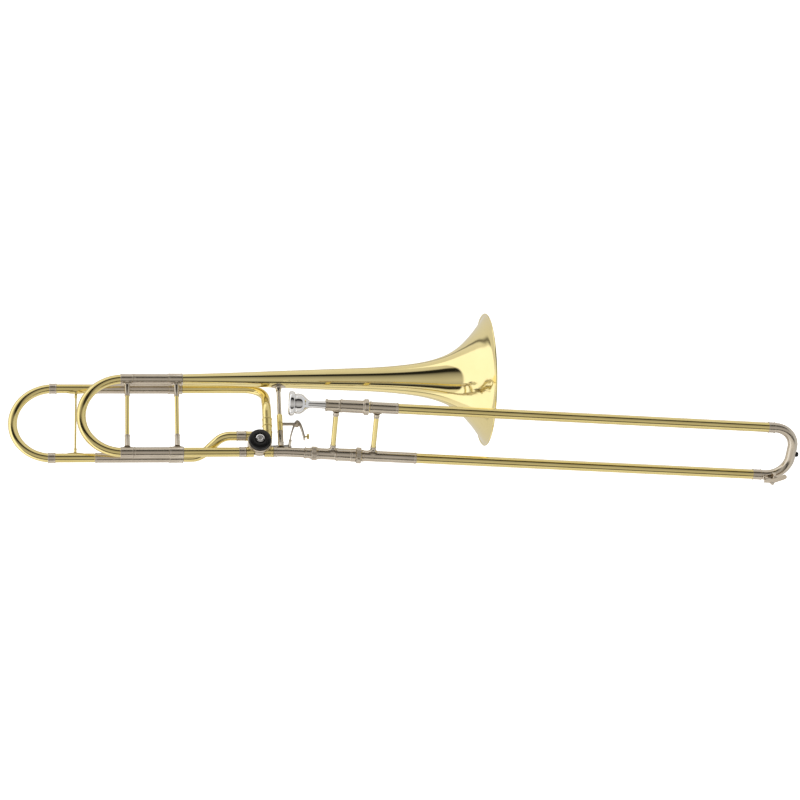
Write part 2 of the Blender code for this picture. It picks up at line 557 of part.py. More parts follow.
# ---------------------------------------------------------------- slide section
def build_inner_slide(shop):
    low = [(-31.0, 7.9), (-22.0, 7.9), (-21.4, GRIP_R), (4.6, GRIP_R), (5.0, GRIP_R - 0.3),
           (5.0, INNER_R + 0.15), (-31.0, INNER_R + 0.15)]
    verts, faces = lathe(low, (0, 0, 0), (1, 0, 0), True)
    shop.add("grip_lower", verts, faces, "nickel_silver", (0, 0, 0))
    high = [(-18.0, 9.0), (-17.4, 9.8), (-14.6, 9.8), (-14.0, GRIP_R), (4.0, GRIP_R), (4.6, GRIP_R - 0.3),
            (4.6, INNER_R + 0.15), (-18.0, INNER_R + 0.15)]
    verts, faces = lathe(high, (0, 0, SLIDE_SPACING), (1, 0, 0), True)
    shop.add("grip_upper", verts, faces, "nickel_silver", (0, 0, SLIDE_SPACING))
    for tag, x0, end, lip, z in (("lower", 5.3, 37.5, 10.5, 0.0), ("upper", 4.9, 50.0, 12.6, SLIDE_SPACING)):
        profile = [
            (x0, 9.6), (x0 + 0.6, BARREL_R), (x0 + 4.0, BARREL_R), (x0 + 4.4, BARREL_R - 0.6),
            (end - 8.0, BARREL_R - 0.6), (end - 7.4, lip), (end - 0.6, lip), (end, lip - 0.6),
            (end, BARREL_BORE), (x0 + 14.0, BARREL_BORE), (x0 + 14.0, INNER_R + 0.15), (x0, INNER_R + 0.15),
        ]
        verts, faces = lathe(profile, (0, 0, z), (1, 0, 0), True)
        shop.add("cork_barrel_" + tag, verts, faces, "nickel_silver", (x0, 0, z))
    for tag, start, end, z in (("lower", -30.0, 690.0, 0.0), ("upper", 8.0, 696.0, SLIDE_SPACING)):
        profile = [(start, INNER_R), (end - 110.0, INNER_R), (end - 108.0, STOCKING_R), (end, STOCKING_R),
                   (end, INNER_BORE), (start, INNER_BORE)]
        verts, faces = lathe(profile, (0, 0, z), (1, 0, 0), True)
        shop.add("inner_tube_" + tag, verts, faces, "nickel_silver", (0, 0, z))
    brace(shop, "hand_brace", 0.0, 0.0, GRIP_R + GAP, SLIDE_SPACING - GRIP_R - GAP, 3.5, 4.2, 4.7)


def build_nut_and_lock(shop):
    profile = [(-33.1, 10.2), (-32.3, 10.9), (-24.6, 10.9), (-23.6, 9.6), (-21.9, 9.4), (-21.9, 9.1),
               (-23.0, 8.3), (-33.1, 8.3)]
    verts, faces = lathe(profile, (0, 0, 0), (1, 0, 0), True, 20)
    shop.add("lock_nut", verts, faces, "nickel_silver", (-27.5, 0, 0))
    profile = [(37.8, 12.0), (38.4, 12.8), (45.0, 12.8), (45.8, 12.0), (45.8, 10.2), (37.8, 10.2)]
    verts, faces = lathe(profile, (0, 0, 0), (1, 0, 0), True)
    ring = shop.add("slide_lock_ring", verts, faces, "nickel_silver", (41.8, 0, 0))
    verts, faces = lathe([(11.5, 0.0), (11.5, 2.2), (15.0, 2.2), (15.4, 1.6), (15.4, 0.0)],
                         (41.8, 0, 0), (0, -1, 0), False, 12)
    modify(ring, shop.cutter("lock_tab", verts, faces, (41.8, 0, 0)), "UNION")


def build_outer_slide(shop):
    origin = (LOW_TUBE_X0, 0.0, 0.0)
    rows = (
        ("lower", LOW_TUBE_X0 - 7.0, LOW_TUBE_X1, 46.6, 134.5, 0.0),
        ("upper", HIGH_TUBE_X0, HIGH_TUBE_X1, 51.5, 97.0, SLIDE_SPACING),
    )
    for tag, start, end, sleeve0, sleeve1, z in rows:
        straight(shop, "outer_tube_" + tag, start, end, 0, z, OUTER_R, OUTER_BORE, "brass", origin)
        profile = [
            (sleeve0, 9.2), (sleeve0 + 0.6, 9.6), (sleeve0 + 4.0, 9.6), (sleeve0 + 4.6, 8.8),
            (sleeve1 - 4.0, 8.8), (sleeve1 - 3.4, 9.3), (sleeve1 - 0.6, 9.3), (sleeve1, 8.7),
            (sleeve1, OUTER_R + 0.12), (sleeve0, OUTER_R + 0.12),
        ]
        verts, faces = lathe(profile, (0, 0, z), (1, 0, 0), True)
        shop.add("slide_sleeve_" + tag, verts, faces, "nickel_silver", origin)
    brace(shop, "slide_brace", 64.0, 0.0, 8.8 + GAP, SLIDE_SPACING - 8.8 - GAP, 3.5, 4.7, 5.6, origin)
    corners = [(LOW_TUBE_X1 + GAP, 0, 0), (BOW_CENTRE_X + BOW_R, 0, 0),
               (BOW_CENTRE_X + BOW_R, 0, SLIDE_SPACING), (HIGH_TUBE_X1 + GAP, 0, SLIDE_SPACING)]
    verts, faces = pipe(rounded_path(corners, BOW_R, 6), OUTER_R, OUTER_R - WALL)
    shop.add("slide_bow", verts, faces, "nickel_silver", (BOW_CENTRE_X, 0.0, SLIDE_SPACING / 2.0))
    for tag, start, end, z in (("lower", 684.0, 698.8, 0.0), ("upper", 693.8, 705.3, SLIDE_SPACING)):
        straight(shop, "bow_ferrule_" + tag, start, end, 0, z, OUTER_R + 1.0, OUTER_R + 0.12,
                 "nickel_silver", origin, bead=0.6)
    face = BOW_CENTRE_X + BOW_R + OUTER_R + GAP
    profile = [(0.0, 0.0), (0.0, 4.0), (1.6, 4.2), (3.2, 3.6), (4.0, 2.6), (4.0, 0.0)]
    verts, faces = lathe(profile, (face, 0, 41.0), (1, 0, 0), False, 16)
    shop.add("slide_bumper", verts, faces, "rubber", (face, 0, 41.0))


def build_water_key(shop):
    hinge = (716.0, -14.5, 0.5)
    posts = ((-9.0, -6.6), (7.6, 10.0))
    outline = [(712.6, posts[0][0]), (719.4, posts[0][0]), (719.4, posts[1][1]), (712.6, posts[1][1])]
    verts, faces = extrude(outline, -17.0, -OUTER_R - 0.8)
    saddle = shop.add("water_key_saddle", verts, faces, "nickel_silver", hinge)
    outline = [(712.0, posts[0][1]), (720.0, posts[0][1]), (720.0, posts[1][0]), (712.0, posts[1][0])]
    verts, faces = extrude(outline, -18.0, -OUTER_R - 2.4)
    modify(saddle, shop.cutter("saddle_gap", verts, faces, hinge), "DIFFERENCE")
    verts, faces = lathe([(-7.4, 0.0), (-7.4, 1.2), (8.0, 1.2), (8.0, 0.0)], (716.0, -14.5, 0.0),
                         (0, 0, 1), False, 16)
    modify(saddle, shop.cutter("saddle_pin", verts, faces, hinge), "UNION")
    verts, faces = lathe([(OUTER_R + 0.3, 0.0), (OUTER_R + 0.3, 4.3), (9.6, 4.3), (10.2, 3.6),
                          (11.6, 3.6), (11.6, 0.0)], (705.0, 0.0, -0.5), (0, -1, 0), False, 16)
    modify(saddle, shop.cutter("key_nipple", verts, faces, hinge), "UNION")
    verts, faces = extrude([(705.0, -3.0), (714.0, -3.0), (714.0, 2.0), (705.0, 2.0)], -9.8, -OUTER_R - 0.9)
    modify(saddle, shop.cutter("key_strap", verts, faces, hinge), "UNION")
    profile = [(-6.2, 1.6), (-6.2, 2.6), (7.2, 2.6), (7.2, 1.6)]
    verts, faces = lathe(profile, (716.0, -14.5, 0.0), (0, 0, 1), True, 16)
    lever = shop.add("water_key_lever", verts, faces, "nickel_silver", hinge)
    verts, faces = extrude(round_bar((705.0, -0.5), (718.0, 0.5), 3.4), -18.0, -16.3)
    modify(lever, shop.cutter("cork_arm", verts, faces, hinge), "UNION")
    verts, faces = extrude(round_bar((717.0, 0.5), (732.0, 7.5), 4.2), -18.2, -16.3)
    modify(lever, shop.cutter("touch_arm", verts, faces, hinge), "UNION")
    verts, faces = lathe([(11.9, 0.0), (11.9, 3.4), (16.0, 3.4), (16.0, 0.0)], (705.0, 0.0, -0.5),
                         (0, -1, 0), False, 16)
    shop.add("water_key_cork", verts, faces, "cork", hinge)


def build_mouthpiece(shop):
    start = -75.4
    outer = [(0.0, 15.6), (0.0, 17.0), (1.2, 18.7), (3.4, 19.4), (6.6, 19.2), (9.0, 17.8), (10.4, 15.2),
             (13.0, 14.5), (18.0, 13.4), (23.0, 11.2), (28.0, 8.3), (31.5, 6.2), (34.0, 5.3),
             (36.5, 5.3), (57.0, 5.9), (84.0, 6.0)]
    cup = [(84.0, 5.2), (60.0, 3.9), (32.0, 3.5), (27.0, 3.6), (22.0, 5.6), (16.0, 9.0), (9.0, 11.4),
           (3.0, 12.6), (0.8, 13.9)]
    verts, faces = lathe(outer + cup, (start, 0, SLIDE_SPACING), (1, 0, 0), True)
    shop.add("mouthpiece", verts, faces, "silver", (start, 0, SLIDE_SPACING))


# ---------------------------------------------------------------- main
def main():
    clear_scene()
    materials = make_materials()
    bell = Shop(section_frame("bell_plane", bell_matrix()), materials)
    slide = Shop(section_frame("slide_plane", slide_matrix()), materials)
    build_bell(bell)
    build_main_loop(bell)
    build_tuning_slide(bell)
    build_loop(bell)
    build_loop_slide(bell)
    build_neck(bell)
    build_neck_brace(bell)
    build_valve(bell)
    pin, square = build_rotor(bell)
    build_lever(bell)
    build_link(bell, pin, square)
    build_inner_slide(slide)
    build_nut_and_lock(slide)
    build_outer_slide(slide)
    build_water_key(slide)
    build_mouthpiece(slide)


main()
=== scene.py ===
"""Looks for the tenor trombone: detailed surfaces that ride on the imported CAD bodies."""

from math import cos, pi, radians, sin, tan

import bmesh
import bpy
import numpy as np
from mathutils import Matrix, Vector


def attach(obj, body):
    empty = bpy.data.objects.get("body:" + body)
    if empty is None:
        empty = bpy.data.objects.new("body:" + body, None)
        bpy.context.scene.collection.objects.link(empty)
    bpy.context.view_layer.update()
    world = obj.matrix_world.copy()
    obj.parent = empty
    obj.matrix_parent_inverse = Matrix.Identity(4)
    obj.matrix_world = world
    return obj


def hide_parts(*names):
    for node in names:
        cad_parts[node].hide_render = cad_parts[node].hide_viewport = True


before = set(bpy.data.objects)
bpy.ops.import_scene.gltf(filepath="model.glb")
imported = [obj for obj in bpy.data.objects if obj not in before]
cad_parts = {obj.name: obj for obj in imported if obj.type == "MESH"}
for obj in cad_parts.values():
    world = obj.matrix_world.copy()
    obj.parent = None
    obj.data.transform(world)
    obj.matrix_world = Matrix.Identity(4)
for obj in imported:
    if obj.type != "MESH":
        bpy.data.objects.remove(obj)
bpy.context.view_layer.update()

MM = 0.001

# attitude of the two sections, as in the CAD
BELL_TILT = radians(29.0)
SLIDE_TILT = radians(28.7)
NECK_BEND = radians(3.3)
BEND_X = -75.0

# camera, given in the frame where the bell axis is level
CAMERA_YAW = radians(8.0)
CAMERA_DISTANCE = 3200.0
CAMERA_AIM = (183.6, 82.19)    # along the bell axis from the bend, and above the neckpipe
CAMERA_LENS = 90.36
CAMERA_SENSOR = 36.0
CAMERA_REACH = 100.0           # metres, past the far side of the backdrop

# bell section
LEG_SPACING = 132.0
LEG_R = 7.5
SLEEVE_R = 8.4
TUNING_FACE_X = -237.0
SLEEVE_END_X = -159.0
CROOK_R = LEG_SPACING / 2
CROOK_CENTRE_X = -253.0
LOOP_Y = 24.0
LOOP_LOW_Z = 3.3
LOOP_HIGH_Z = 127.8
LOOP_R = 7.2
LOOP_SLEEVE_R = 7.9
LOOP_FACE_X = -297.0
LOOP_CROOK_CENTRE_X = -364.0
LOOP_CROOK_R = (LOOP_HIGH_Z - LOOP_LOW_Z) / 2
CROOK_LEAD = 2.0
GAP = 0.3

# valve and lever
VALVE_X, VALVE_Z = -40.0, 13.0
CASING_R = 19.0
LOOP_PORT_Y, LOOP_PORT_Z = -6.0, 25.5
DROP_X = -27.0
PIVOT_X, PIVOT_Z = 21.0, 50.0
BRACE_X = -6.1

# hand slide
SLIDE_SPACING = 88.0
OUTER_R = 7.9
INNER_R, INNER_BORE, STOCKING_R = 6.8, 6.2, 7.1
GRIP_R = 8.8
BARREL_R, BARREL_BORE = 10.5, 8.3
LOW_TUBE_X0, LOW_TUBE_X1 = 37.0, 692.0
HIGH_TUBE_X0, HIGH_TUBE_X1 = 41.0, 699.0
BOW_CENTRE_X = 705.6
BOW_R = 35.0

SEG = 48
SEG_BELL = 160

# studio: brightness of the tent by angle up and over from the front, in degrees
TENT = (
    (-180.0, 0.56), (-146.0, 0.60), (-136.0, 0.60), (-134.0, 0.20), (-132.0, 0.80), (-104.0, 0.72),
    (-99.0, 0.30), (-95.0, 0.30), (-91.0, 0.66), (-56.0, 0.72), (-51.0, 0.015), (-42.0, 0.015),
    (-34.0, 0.26), (-22.0, 0.42), (-8.0, 0.48), (10.0, 0.38), (26.0, 0.26), (36.0, 0.10), (40.0, 0.01),
    (55.0, 0.015), (62.0, 0.54), (95.0, 0.62), (136.0, 0.66), (138.5, 0.10), (140.0, 0.10), (142.5, 0.60),
    (180.0, 0.56),
)
TENT_EDGE = (1.95, 2.30)       # sideways reach of the openings, as a share of their distance
TENT_SIDES = (1.0, 0.55)       # brightness of the left and right ends
TENT_SIDE_BLEND = 0.3          # sideways part of the direction over which one end turns into the other
TENT_POWER = 1.2
TENT_WARMTH = (0.96, 0.90)

# backdrop: (radius, height) in metres of the floor and the dome over it
BACKDROP = [(0.0, -0.75), (8.0, -0.75), (16.0, -0.75), (20.0, 0.6), (22.0, 5.0), (18.0, 14.0), (0.0, 20.0)]
BACKDROP_GLOW = 0.8

BELL_FRAME = (Matrix.Translation((BEND_X * MM, 0.0, 0.0)) @ Matrix.Rotation(-BELL_TILT, 4, "X")
              @ Matrix.Rotation(-NECK_BEND, 4, "Y"))
SLIDE_FRAME = Matrix.Rotation(SLIDE_TILT, 4, "X")


# ---------------------------------------------------------------- materials
class Nodes:
    """Short way to build a node tree."""

    def __init__(self, name):
        self.material = bpy.data.materials.new(name)
        self.material.use_nodes = True
        self.tree = self.material.node_tree
        self.shader = self.tree.nodes["Principled BSDF"]
        coords = self.tree.nodes.new("ShaderNodeTexCoord")
        self.place = coords.outputs["Object"]

    def new(self, kind, **values):
        node = self.tree.nodes.new(kind)
        for key, value in values.items():
            if key in node.inputs:
                node.inputs[key].default_value = value
            else:
                setattr(node, key, value)
        return node

    def link(self, start, end):
        self.tree.links.new(start, end)

    def scaled(self, scale):
        node = self.new("ShaderNodeMapping")
        node.inputs["Scale"].default_value = scale
        self.link(self.place, node.inputs["Vector"])
        return node.outputs["Vector"]

    def noise(self, vector, scale, detail=4.0, roughness=0.55):
        node = self.new("ShaderNodeTexNoise", Scale=scale, Detail=detail, Roughness=roughness)
        self.link(vector, node.inputs["Vector"])
        return node.outputs["Fac"]

    def ramp(self, source, stops):
        node = self.new("ShaderNodeValToRGB")
        elements = node.color_ramp.elements
        while len(elements) < len(stops):
            elements.new(0.5)
        for element, (place, colour) in zip(elements, stops):
            element.position = place
            element.color = colour
        self.link(source, node.inputs["Fac"])
        return node.outputs["Color"]

    def spread(self, source, low, high):
        node = self.new("ShaderNodeMapRange")
        node.inputs["To Min"].default_value = low
        node.inputs["To Max"].default_value = high
        self.link(source, node.inputs["Value"])
        return node.outputs["Result"]

    def bump(self, height, strength, distance):
        node = self.new("ShaderNodeBump", Strength=strength, Distance=distance)
        self.link(height, node.inputs["Height"])
        self.link(node.outputs["Normal"], self.shader.inputs["Normal"])

    def constants(self, **values):
        for key, value in values.items():
            self.shader.inputs[key.replace("_", " ")].default_value = value


def grey(level):
    return (level, level, level, 1.0)


def polished_metal(name, light, deep, rough_low, rough_high, coat=0.0, drawn=(6.0, 90.0, 90.0)):
    """Polished metal with faint clouding, and drawn lines along the tube in its roughness and a fine bump.
    """
    n = Nodes(name)
    clouds = n.noise(n.scaled((1.0, 1.0, 1.0)), 16.0, 3.0)
    n.link(n.ramp(clouds, ((0.32, deep), (0.68, light))), n.shader.inputs["Base Color"])
    lines = n.noise(n.scaled(drawn), 14.0, 5.0, 0.6)
    n.link(n.spread(lines, rough_low, rough_high), n.shader.inputs["Roughness"])
    n.bump(lines, 0.012, 0.0001)
    n.constants(Metallic=1.0, Coat_Weight=coat, Coat_Roughness=0.06)
    return n.material


def plain_surface(name, light, deep, scale, rough_low, rough_high, bump):
    n = Nodes(name)
    grain = n.noise(n.scaled((1.0, 1.0, 1.0)), scale, 6.0, 0.65)
    n.link(n.ramp(grain, ((0.35, deep), (0.65, light))), n.shader.inputs["Base Color"])
    n.link(n.spread(grain, rough_low, rough_high), n.shader.inputs["Roughness"])
    n.bump(grain, bump, 0.0006)
    n.constants(Metallic=0.0)
    return n.material


def cork_surface(name):
    n = Nodes(name)
    cells = n.new("ShaderNodeTexVoronoi", Scale=900.0)
    n.link(n.place, cells.inputs["Vector"])
    stops = ((0.1, (0.20, 0.10, 0.05, 1.0)), (0.45, (0.55, 0.36, 0.20, 1.0)))
    n.link(n.ramp(cells.outputs["Distance"], stops), n.shader.inputs["Base Color"])
    n.bump(cells.outputs["Distance"], 0.4, 0.0004)
    n.constants(Metallic=0.0, Roughness=0.9)
    return n.material


MATERIALS = {
    "brass": polished_metal("lacquered_brass", (0.93, 0.79, 0.36, 1.0), (0.87, 0.72, 0.30, 1.0),
                            0.08, 0.17, 0.35),
    "bell_brass": polished_metal("lacquered_bell_brass", (0.94, 0.82, 0.42, 1.0), (0.90, 0.77, 0.37, 1.0),
                                 0.05, 0.10, 0.35, (5.0, 40.0, 40.0)),
    "nickel_silver": polished_metal("nickel_silver", (0.70, 0.63, 0.53, 1.0), (0.62, 0.55, 0.45, 1.0),
                                    0.14, 0.27),
    "silver": polished_metal("silver_plate", (0.93, 0.93, 0.92, 1.0), (0.84, 0.84, 0.85, 1.0), 0.04, 0.10),
    "steel": polished_metal("satin_steel", (0.60, 0.60, 0.60, 1.0), (0.47, 0.47, 0.47, 1.0), 0.25, 0.38),
    "black_plastic": plain_surface("black_cap", grey(0.008), grey(0.004), 700.0, 0.16, 0.26, 0.08),
    "rubber": plain_surface("black_rubber", grey(0.020), grey(0.010), 900.0, 0.55, 0.75, 0.3),
    "cork": cork_surface("key_cork"),
}


# ---------------------------------------------------------------- shapes, in millimetres
def axes_for(direction):
    along = Vector(direction).normalized()
    guide = Vector((0.0, 1.0, 0.0)) if abs(along.y) < 0.9 else Vector((1.0, 0.0, 0.0))
    side = (guide - along * guide.dot(along)).normalized()
    return along, side, along.cross(side)


def ring_points(centre, side, up, radius, count, ripple=None):
    base = Vector(centre)
    turn = 2.0 * pi / count
    points = []
    for i in range(count):
        reach = radius
        if ripple:
            reach += ripple[1] * abs(cos(ripple[0] * turn * i / 2.0))
        points.append(base + side * (reach * cos(turn * i)) + up * (reach * sin(turn * i)))
    return points


def join_rings(first, second, count):
    return [(first + i, first + (i + 1) % count, second + (i + 1) % count, second + i)
            for i in range(count)]


def lathe(profile, start, direction, closed, count=SEG, ripple=None):
    """Turns (along, radius) points round an axis. ripple = (teeth, depth, from, to) cuts a knurl."""
    along, side, up = axes_for(direction)
    verts, faces, rings = [], [], []
    for distance, radius in profile:
        centre = Vector(start) + along * distance
        rings.append((len(verts), radius > 1e-6))
        if radius > 1e-6:
            wavy = ripple[:2] if ripple and ripple[2] <= distance <= ripple[3] else None
            verts += ring_points(centre, side, up, radius, count, wavy)
        else:
            verts.append(centre)
    pairs = list(zip(rings, rings[1:]))
    if closed:
        pairs.append((rings[-1], rings[0]))
    for (a, a_round), (b, b_round) in pairs:
        if a_round and b_round:
            faces += join_rings(a, b, count)
        elif a_round:
            faces += [(a + i, a + (i + 1) % count, b) for i in range(count)]
        elif b_round:
            faces += [(b + i, b + (i + 1) % count, a) for i in range(count)]
    return verts, faces


def rounded_path(corners, radius, steps):
    points = [Vector(corners[0])]
    for before, corner, after in zip(corners, corners[1:], corners[2:]):
        corner = Vector(corner)
        into = (corner - Vector(before)).normalized()
        out = (Vector(after) - corner).normalized()
        turn = into.angle(out)
        centre = corner + (out - into).normalized() * (radius / cos(turn / 2.0))
        start = corner - into * (radius * tan(turn / 2.0)) - centre
        normal = into.cross(out).normalized()
        for i in range(steps + 1):
            points.append(centre + Matrix.Rotation(turn * i / steps, 3, normal) @ start)
    points.append(Vector(corners[-1]))
    kept = [points[0]]
    for point in points[1:]:
        if (point - kept[-1]).length > 0.01:
            kept.append(point)
    return kept


def pipe(path, outer, bore=0.0, count=SEG):
    """Tube swept along a path; with no bore it is a solid rod with flat ends."""
    tangents = []
    for i in range(len(path)):
        tangents.append((path[min(i + 1, len(path) - 1)] - path[max(i - 1, 0)]).normalized())
    _, side, up = axes_for(tangents[0])
    frames = [(side, up)]
    for before, after in zip(tangents, tangents[1:]):
        turn = before.rotation_difference(after)
        side, up = turn @ side, turn @ up
        frames.append((side, up))
    verts, faces = [], []
    order = [(i, outer) for i in range(len(path))]
    if bore:
        order += [(i, bore) for i in reversed(range(len(path)))]
    for i, radius in order:
        verts += ring_points(path[i], frames[i][0], frames[i][1], radius, count)
    for k in range(len(order) - 1):
        faces += join_rings(k * count, (k + 1) * count, count)
    if bore:
        faces += join_rings((len(order) - 1) * count, 0, count)
    else:
        faces += [tuple(range(count)), tuple(range((len(order) - 1) * count, len(order) * count))]
    return verts, faces


def extrude(outline, y0, y1):
    count = len(outline)
    verts = [(x, y0, z) for x, z in outline] + [(x, y1, z) for x, z in outline]
    faces = [tuple(range(count)), tuple(range(count, 2 * count))]
    faces += [(i, (i + 1) % count, count + (i + 1) % count, count + i) for i in range(count)]
    return verts, faces


def round_bar(start, end, half, count=16):
    run = Vector((end[0] - start[0], end[1] - start[1]))
    heading = run.normalized()
    left = Vector((-heading.y, heading.x))
    outline = []
    for centre, sign in ((Vector(end), 1.0), (Vector(start), -1.0)):
        for i in range(count + 1):
            angle = -pi / 2.0 + pi * i / count
            point = centre + (heading * cos(angle) + left * sin(angle)) * (half * sign)
            outline.append((point.x, point.y))
    return outline


def saddle(x, centre, tube_r, facing, length, width, thick, count=40):
    """Diamond-shaped foot wrapped on a tube that runs along x; facing is an angle about that tube."""
    verts, faces = [], []
    rings = (0.0, 0.35, 0.7, 0.93, 1.0)
    layers = []
    for lift in (1.0, 0.0):
        layer = []
        for share in rings:
            row = []
            for i in range(count if share else 1):
                angle = 2.0 * pi * i / count
                edge = (abs(cos(angle)) ** 1.35 + abs(sin(angle)) ** 1.35) ** (-1.0 / 1.35)
                along = length * edge * share * cos(angle)
                around = facing + width * edge * share * sin(angle) / tube_r
                top = thick * (1.0 - 0.65 * share ** 3) if lift else 0.0
                reach = tube_r + 0.1 + top
                row.append(len(verts))
                verts.append((x + along, centre[0] + reach * cos(around), centre[1] + reach * sin(around)))
            layer.append(row)
        layers.append(layer)
    for layer in layers:
        faces += [(layer[0][0], layer[1][i], layer[1][(i + 1) % count]) for i in range(count)]
        for inner, outer in zip(layer[1:], layer[2:]):
            faces += [(inner[i], outer[i], outer[(i + 1) % count], inner[(i + 1) % count])
                      for i in range(count)]
    top, low = layers[0][-1], layers[1][-1]
    faces += [(top[i], low[i], low[(i + 1) % count], top[(i + 1) % count]) for i in range(count)]
    return verts, faces


def smooth_curve(points, per_span):
    """Catmull-Rom curve through (x, radius) points."""
    pts = np.array([points[0]] + list(points) + [points[-1]], float)
    curve = []
    for k in range(1, len(pts) - 2):
        p0, p1, p2, p3 = pts[k - 1:k + 3]
        for i in range(per_span):
            t = i / per_span
            curve.append(0.5 * (2 * p1 + (p2 - p0) * t + (2 * p0 - 5 * p1 + 4 * p2 - p3) * t * t
                                + (3 * p1 - p0 - 3 * p2 + p3) * t ** 3))
    curve.append(pts[-2])
    return [tuple(p) for p in curve]


def beaded(x0, x1, radius, bore, bead=0.7, width=1.8):
    """Ferrule profile with a raised rounded ring at each end."""
    profile = [(x0, bore), (x0, radius)]
    for centre in (x0 + width / 2.0, x1 - width / 2.0):
        for i in range(7):
            angle = pi - pi * i / 6.0
            profile.append((centre + width / 2.0 * cos(angle), radius + bead * sin(angle)))
    return profile + [(x1, radius), (x1, bore)]


# ---------------------------------------------------------------- objects
class Section:
    """Places pieces in one section frame and makes them ride on a CAD body."""

    def __init__(self, matrix):
        self.matrix = matrix

    def add(self, name, shapes, material, body, replaced=(), sharp=32.0, slot=None):
        verts, faces = [], []
        for shape_verts, shape_faces in shapes:
            base = len(verts)
            verts += [tuple(self.matrix @ (Vector(v) * MM)) for v in shape_verts]
            faces += [tuple(base + i for i in face) for face in shape_faces]
        mesh = bpy.data.meshes.new(name)
        mesh.from_pydata(verts, [], faces)
        work = bmesh.new()
        work.from_mesh(mesh)
        bmesh.ops.recalc_face_normals(work, faces=work.faces)
        work.to_mesh(mesh)
        work.free()
        for poly in mesh.polygons:
            poly.use_smooth = True
        mesh.set_sharp_from_angle(angle=radians(sharp))
        mesh.materials.append(MATERIALS[material])
        obj = bpy.data.objects.new(name, mesh)
        bpy.context.scene.collection.objects.link(obj)
        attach(obj, body)
        if replaced:
            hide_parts(*replaced)
        return obj


bell_side = Section(BELL_FRAME)
slide_side = Section(SLIDE_FRAME)


def ring(profile, y, z):
    return lathe(profile, (0.0, y, z), (1, 0, 0), True)


def stay(section, name, x, y, low_tube, high_tube, rod, socket, body, node, foot=(9.0, 6.5), reach=8.2,
         trim="nickel_silver"):
    """Round stay between two tubes: soldered diamond feet, turned sockets and a thinner rod."""
    (z0, r0), (z1, r1) = low_tube, high_tube
    low, high = z0 + r0, z1 - r1
    rod_piece = pipe([Vector((x, y, low + 2.0)), Vector((x, y, high - 2.0))], rod)
    section.add(name + "_rod", [rod_piece], "brass", body, [node])
    shapes = []
    for face, sign in ((low, 1.0), (high, -1.0)):
        profile = [(0.9, socket + 1.7), (1.5, socket + 0.9), (2.6, socket + 0.2), (3.4, socket),
                   (reach - 1.8, socket), (reach - 1.4, socket + 0.35), (reach - 0.4, socket + 0.35),
                   (reach, socket), (reach + 0.8, rod + 0.3), (reach + 0.9, rod + 0.05),
                   (0.9, rod + 0.05)]
        shapes.append(lathe(profile, (x, y, face), (0, 0, sign), True))
    shapes.append(saddle(x, (y, z0), r0, pi / 2.0, foot[0], foot[1], 1.5))
    shapes.append(saddle(x, (y, z1), r1, -pi / 2.0, foot[0], foot[1], 1.5))
    section.add(name + "_sockets", shapes, trim, body)


# ---------------------------------------------------------------- bell section
BELL_CURVE = [
    (-158.6, 8.2), (-110.0, 9.7), (-60.0, 11.6), (-10.0, 13.6), (40.0, 15.5), (90.0, 17.5),
    (135.0, 19.2), (165.0, 20.9), (190.0, 23.1), (210.0, 25.5), (228.0, 28.4), (244.0, 32.0),
    (258.0, 36.4), (270.0, 41.3), (281.0, 47.6), (291.0, 55.0), (300.0, 63.4), (308.0, 72.0),
    (315.5, 81.0), (322.5, 90.5), (328.0, 98.5), (331.2, 104.6),
]


def build_bell():
    outer = smooth_curve(BELL_CURVE, 7)
    pts = np.array(outer)
    heading = np.gradient(pts, axis=0)
    heading /= np.linalg.norm(heading, axis=1)[:, None]
    inner = [tuple(p) for p in pts + np.stack([heading[:, 1], -heading[:, 0]], axis=1) * 0.7]
    bead = []
    for i in range(15):
        angle = radians(215.0) - radians(290.0) * i / 14.0
        bead.append((331.9 + 1.5 * cos(angle), 106.9 + 1.5 * sin(angle)))
    profile = outer + bead + list(reversed(inner))
    bell_side.add("bell_flare", [lathe(profile, (0, 0, LEG_SPACING), (1, 0, 0), True, SEG_BELL)],
                  "bell_brass", "bell_section", ["bell"], 50.0)


def sleeve_profile(face, end, step, radius, bore):
    return [
        (face, bore), (face, radius + 0.1), (face + 0.3, radius + 0.5), (face + 2.2, radius + 0.5),
        (face + 2.8, radius), (step, radius), (step + 0.4, radius + 0.7), (step + 1.2, radius + 1.0),
        (step + 2.2, radius + 1.0), (step + 2.8, radius + 0.6), (end - 2.8, radius + 0.6),
        (end - 2.2, radius + 0.9), (end - 1.0, radius + 0.9), (end - 0.2, radius + 0.4), (end, bore),
    ]


def build_main_loop():
    for tag, z in (("upper", LEG_SPACING), ("lower", 0.0)):
        profile = sleeve_profile(TUNING_FACE_X, SLEEVE_END_X, -182.0, SLEEVE_R, 7.7)
        bell_side.add("tuning_sleeve_shell_" + tag, [ring(profile, 0, z)], "nickel_silver", "bell_section",
                      ["tuning_sleeve_" + tag])
    start, end = SLEEVE_END_X + GAP, -72.3
    lower = [(start, LEG_R), (end, LEG_R), (end, LEG_R - 0.7), (start, LEG_R - 0.7)]
    bell_side.add("lower_leg_tube", [ring(lower, 0, 0)], "brass", "bell_section", ["lower_leg"])
    bell_side.add("valve_inlet_collar", [ring(beaded(-72.0, -61.5, LEG_R + 0.5, 6.4), 0, 0)],
                  "nickel_silver", "bell_section", ["valve_inlet_ferrule"])
    stay(bell_side, "fixed_stay", -169.0, 0.0, (0.0, SLEEVE_R + 0.6), (LEG_SPACING, SLEEVE_R + 0.6),
         3.3, 4.1, "bell_section", "fixed_brace", (9.0, 6.5), 22.0)


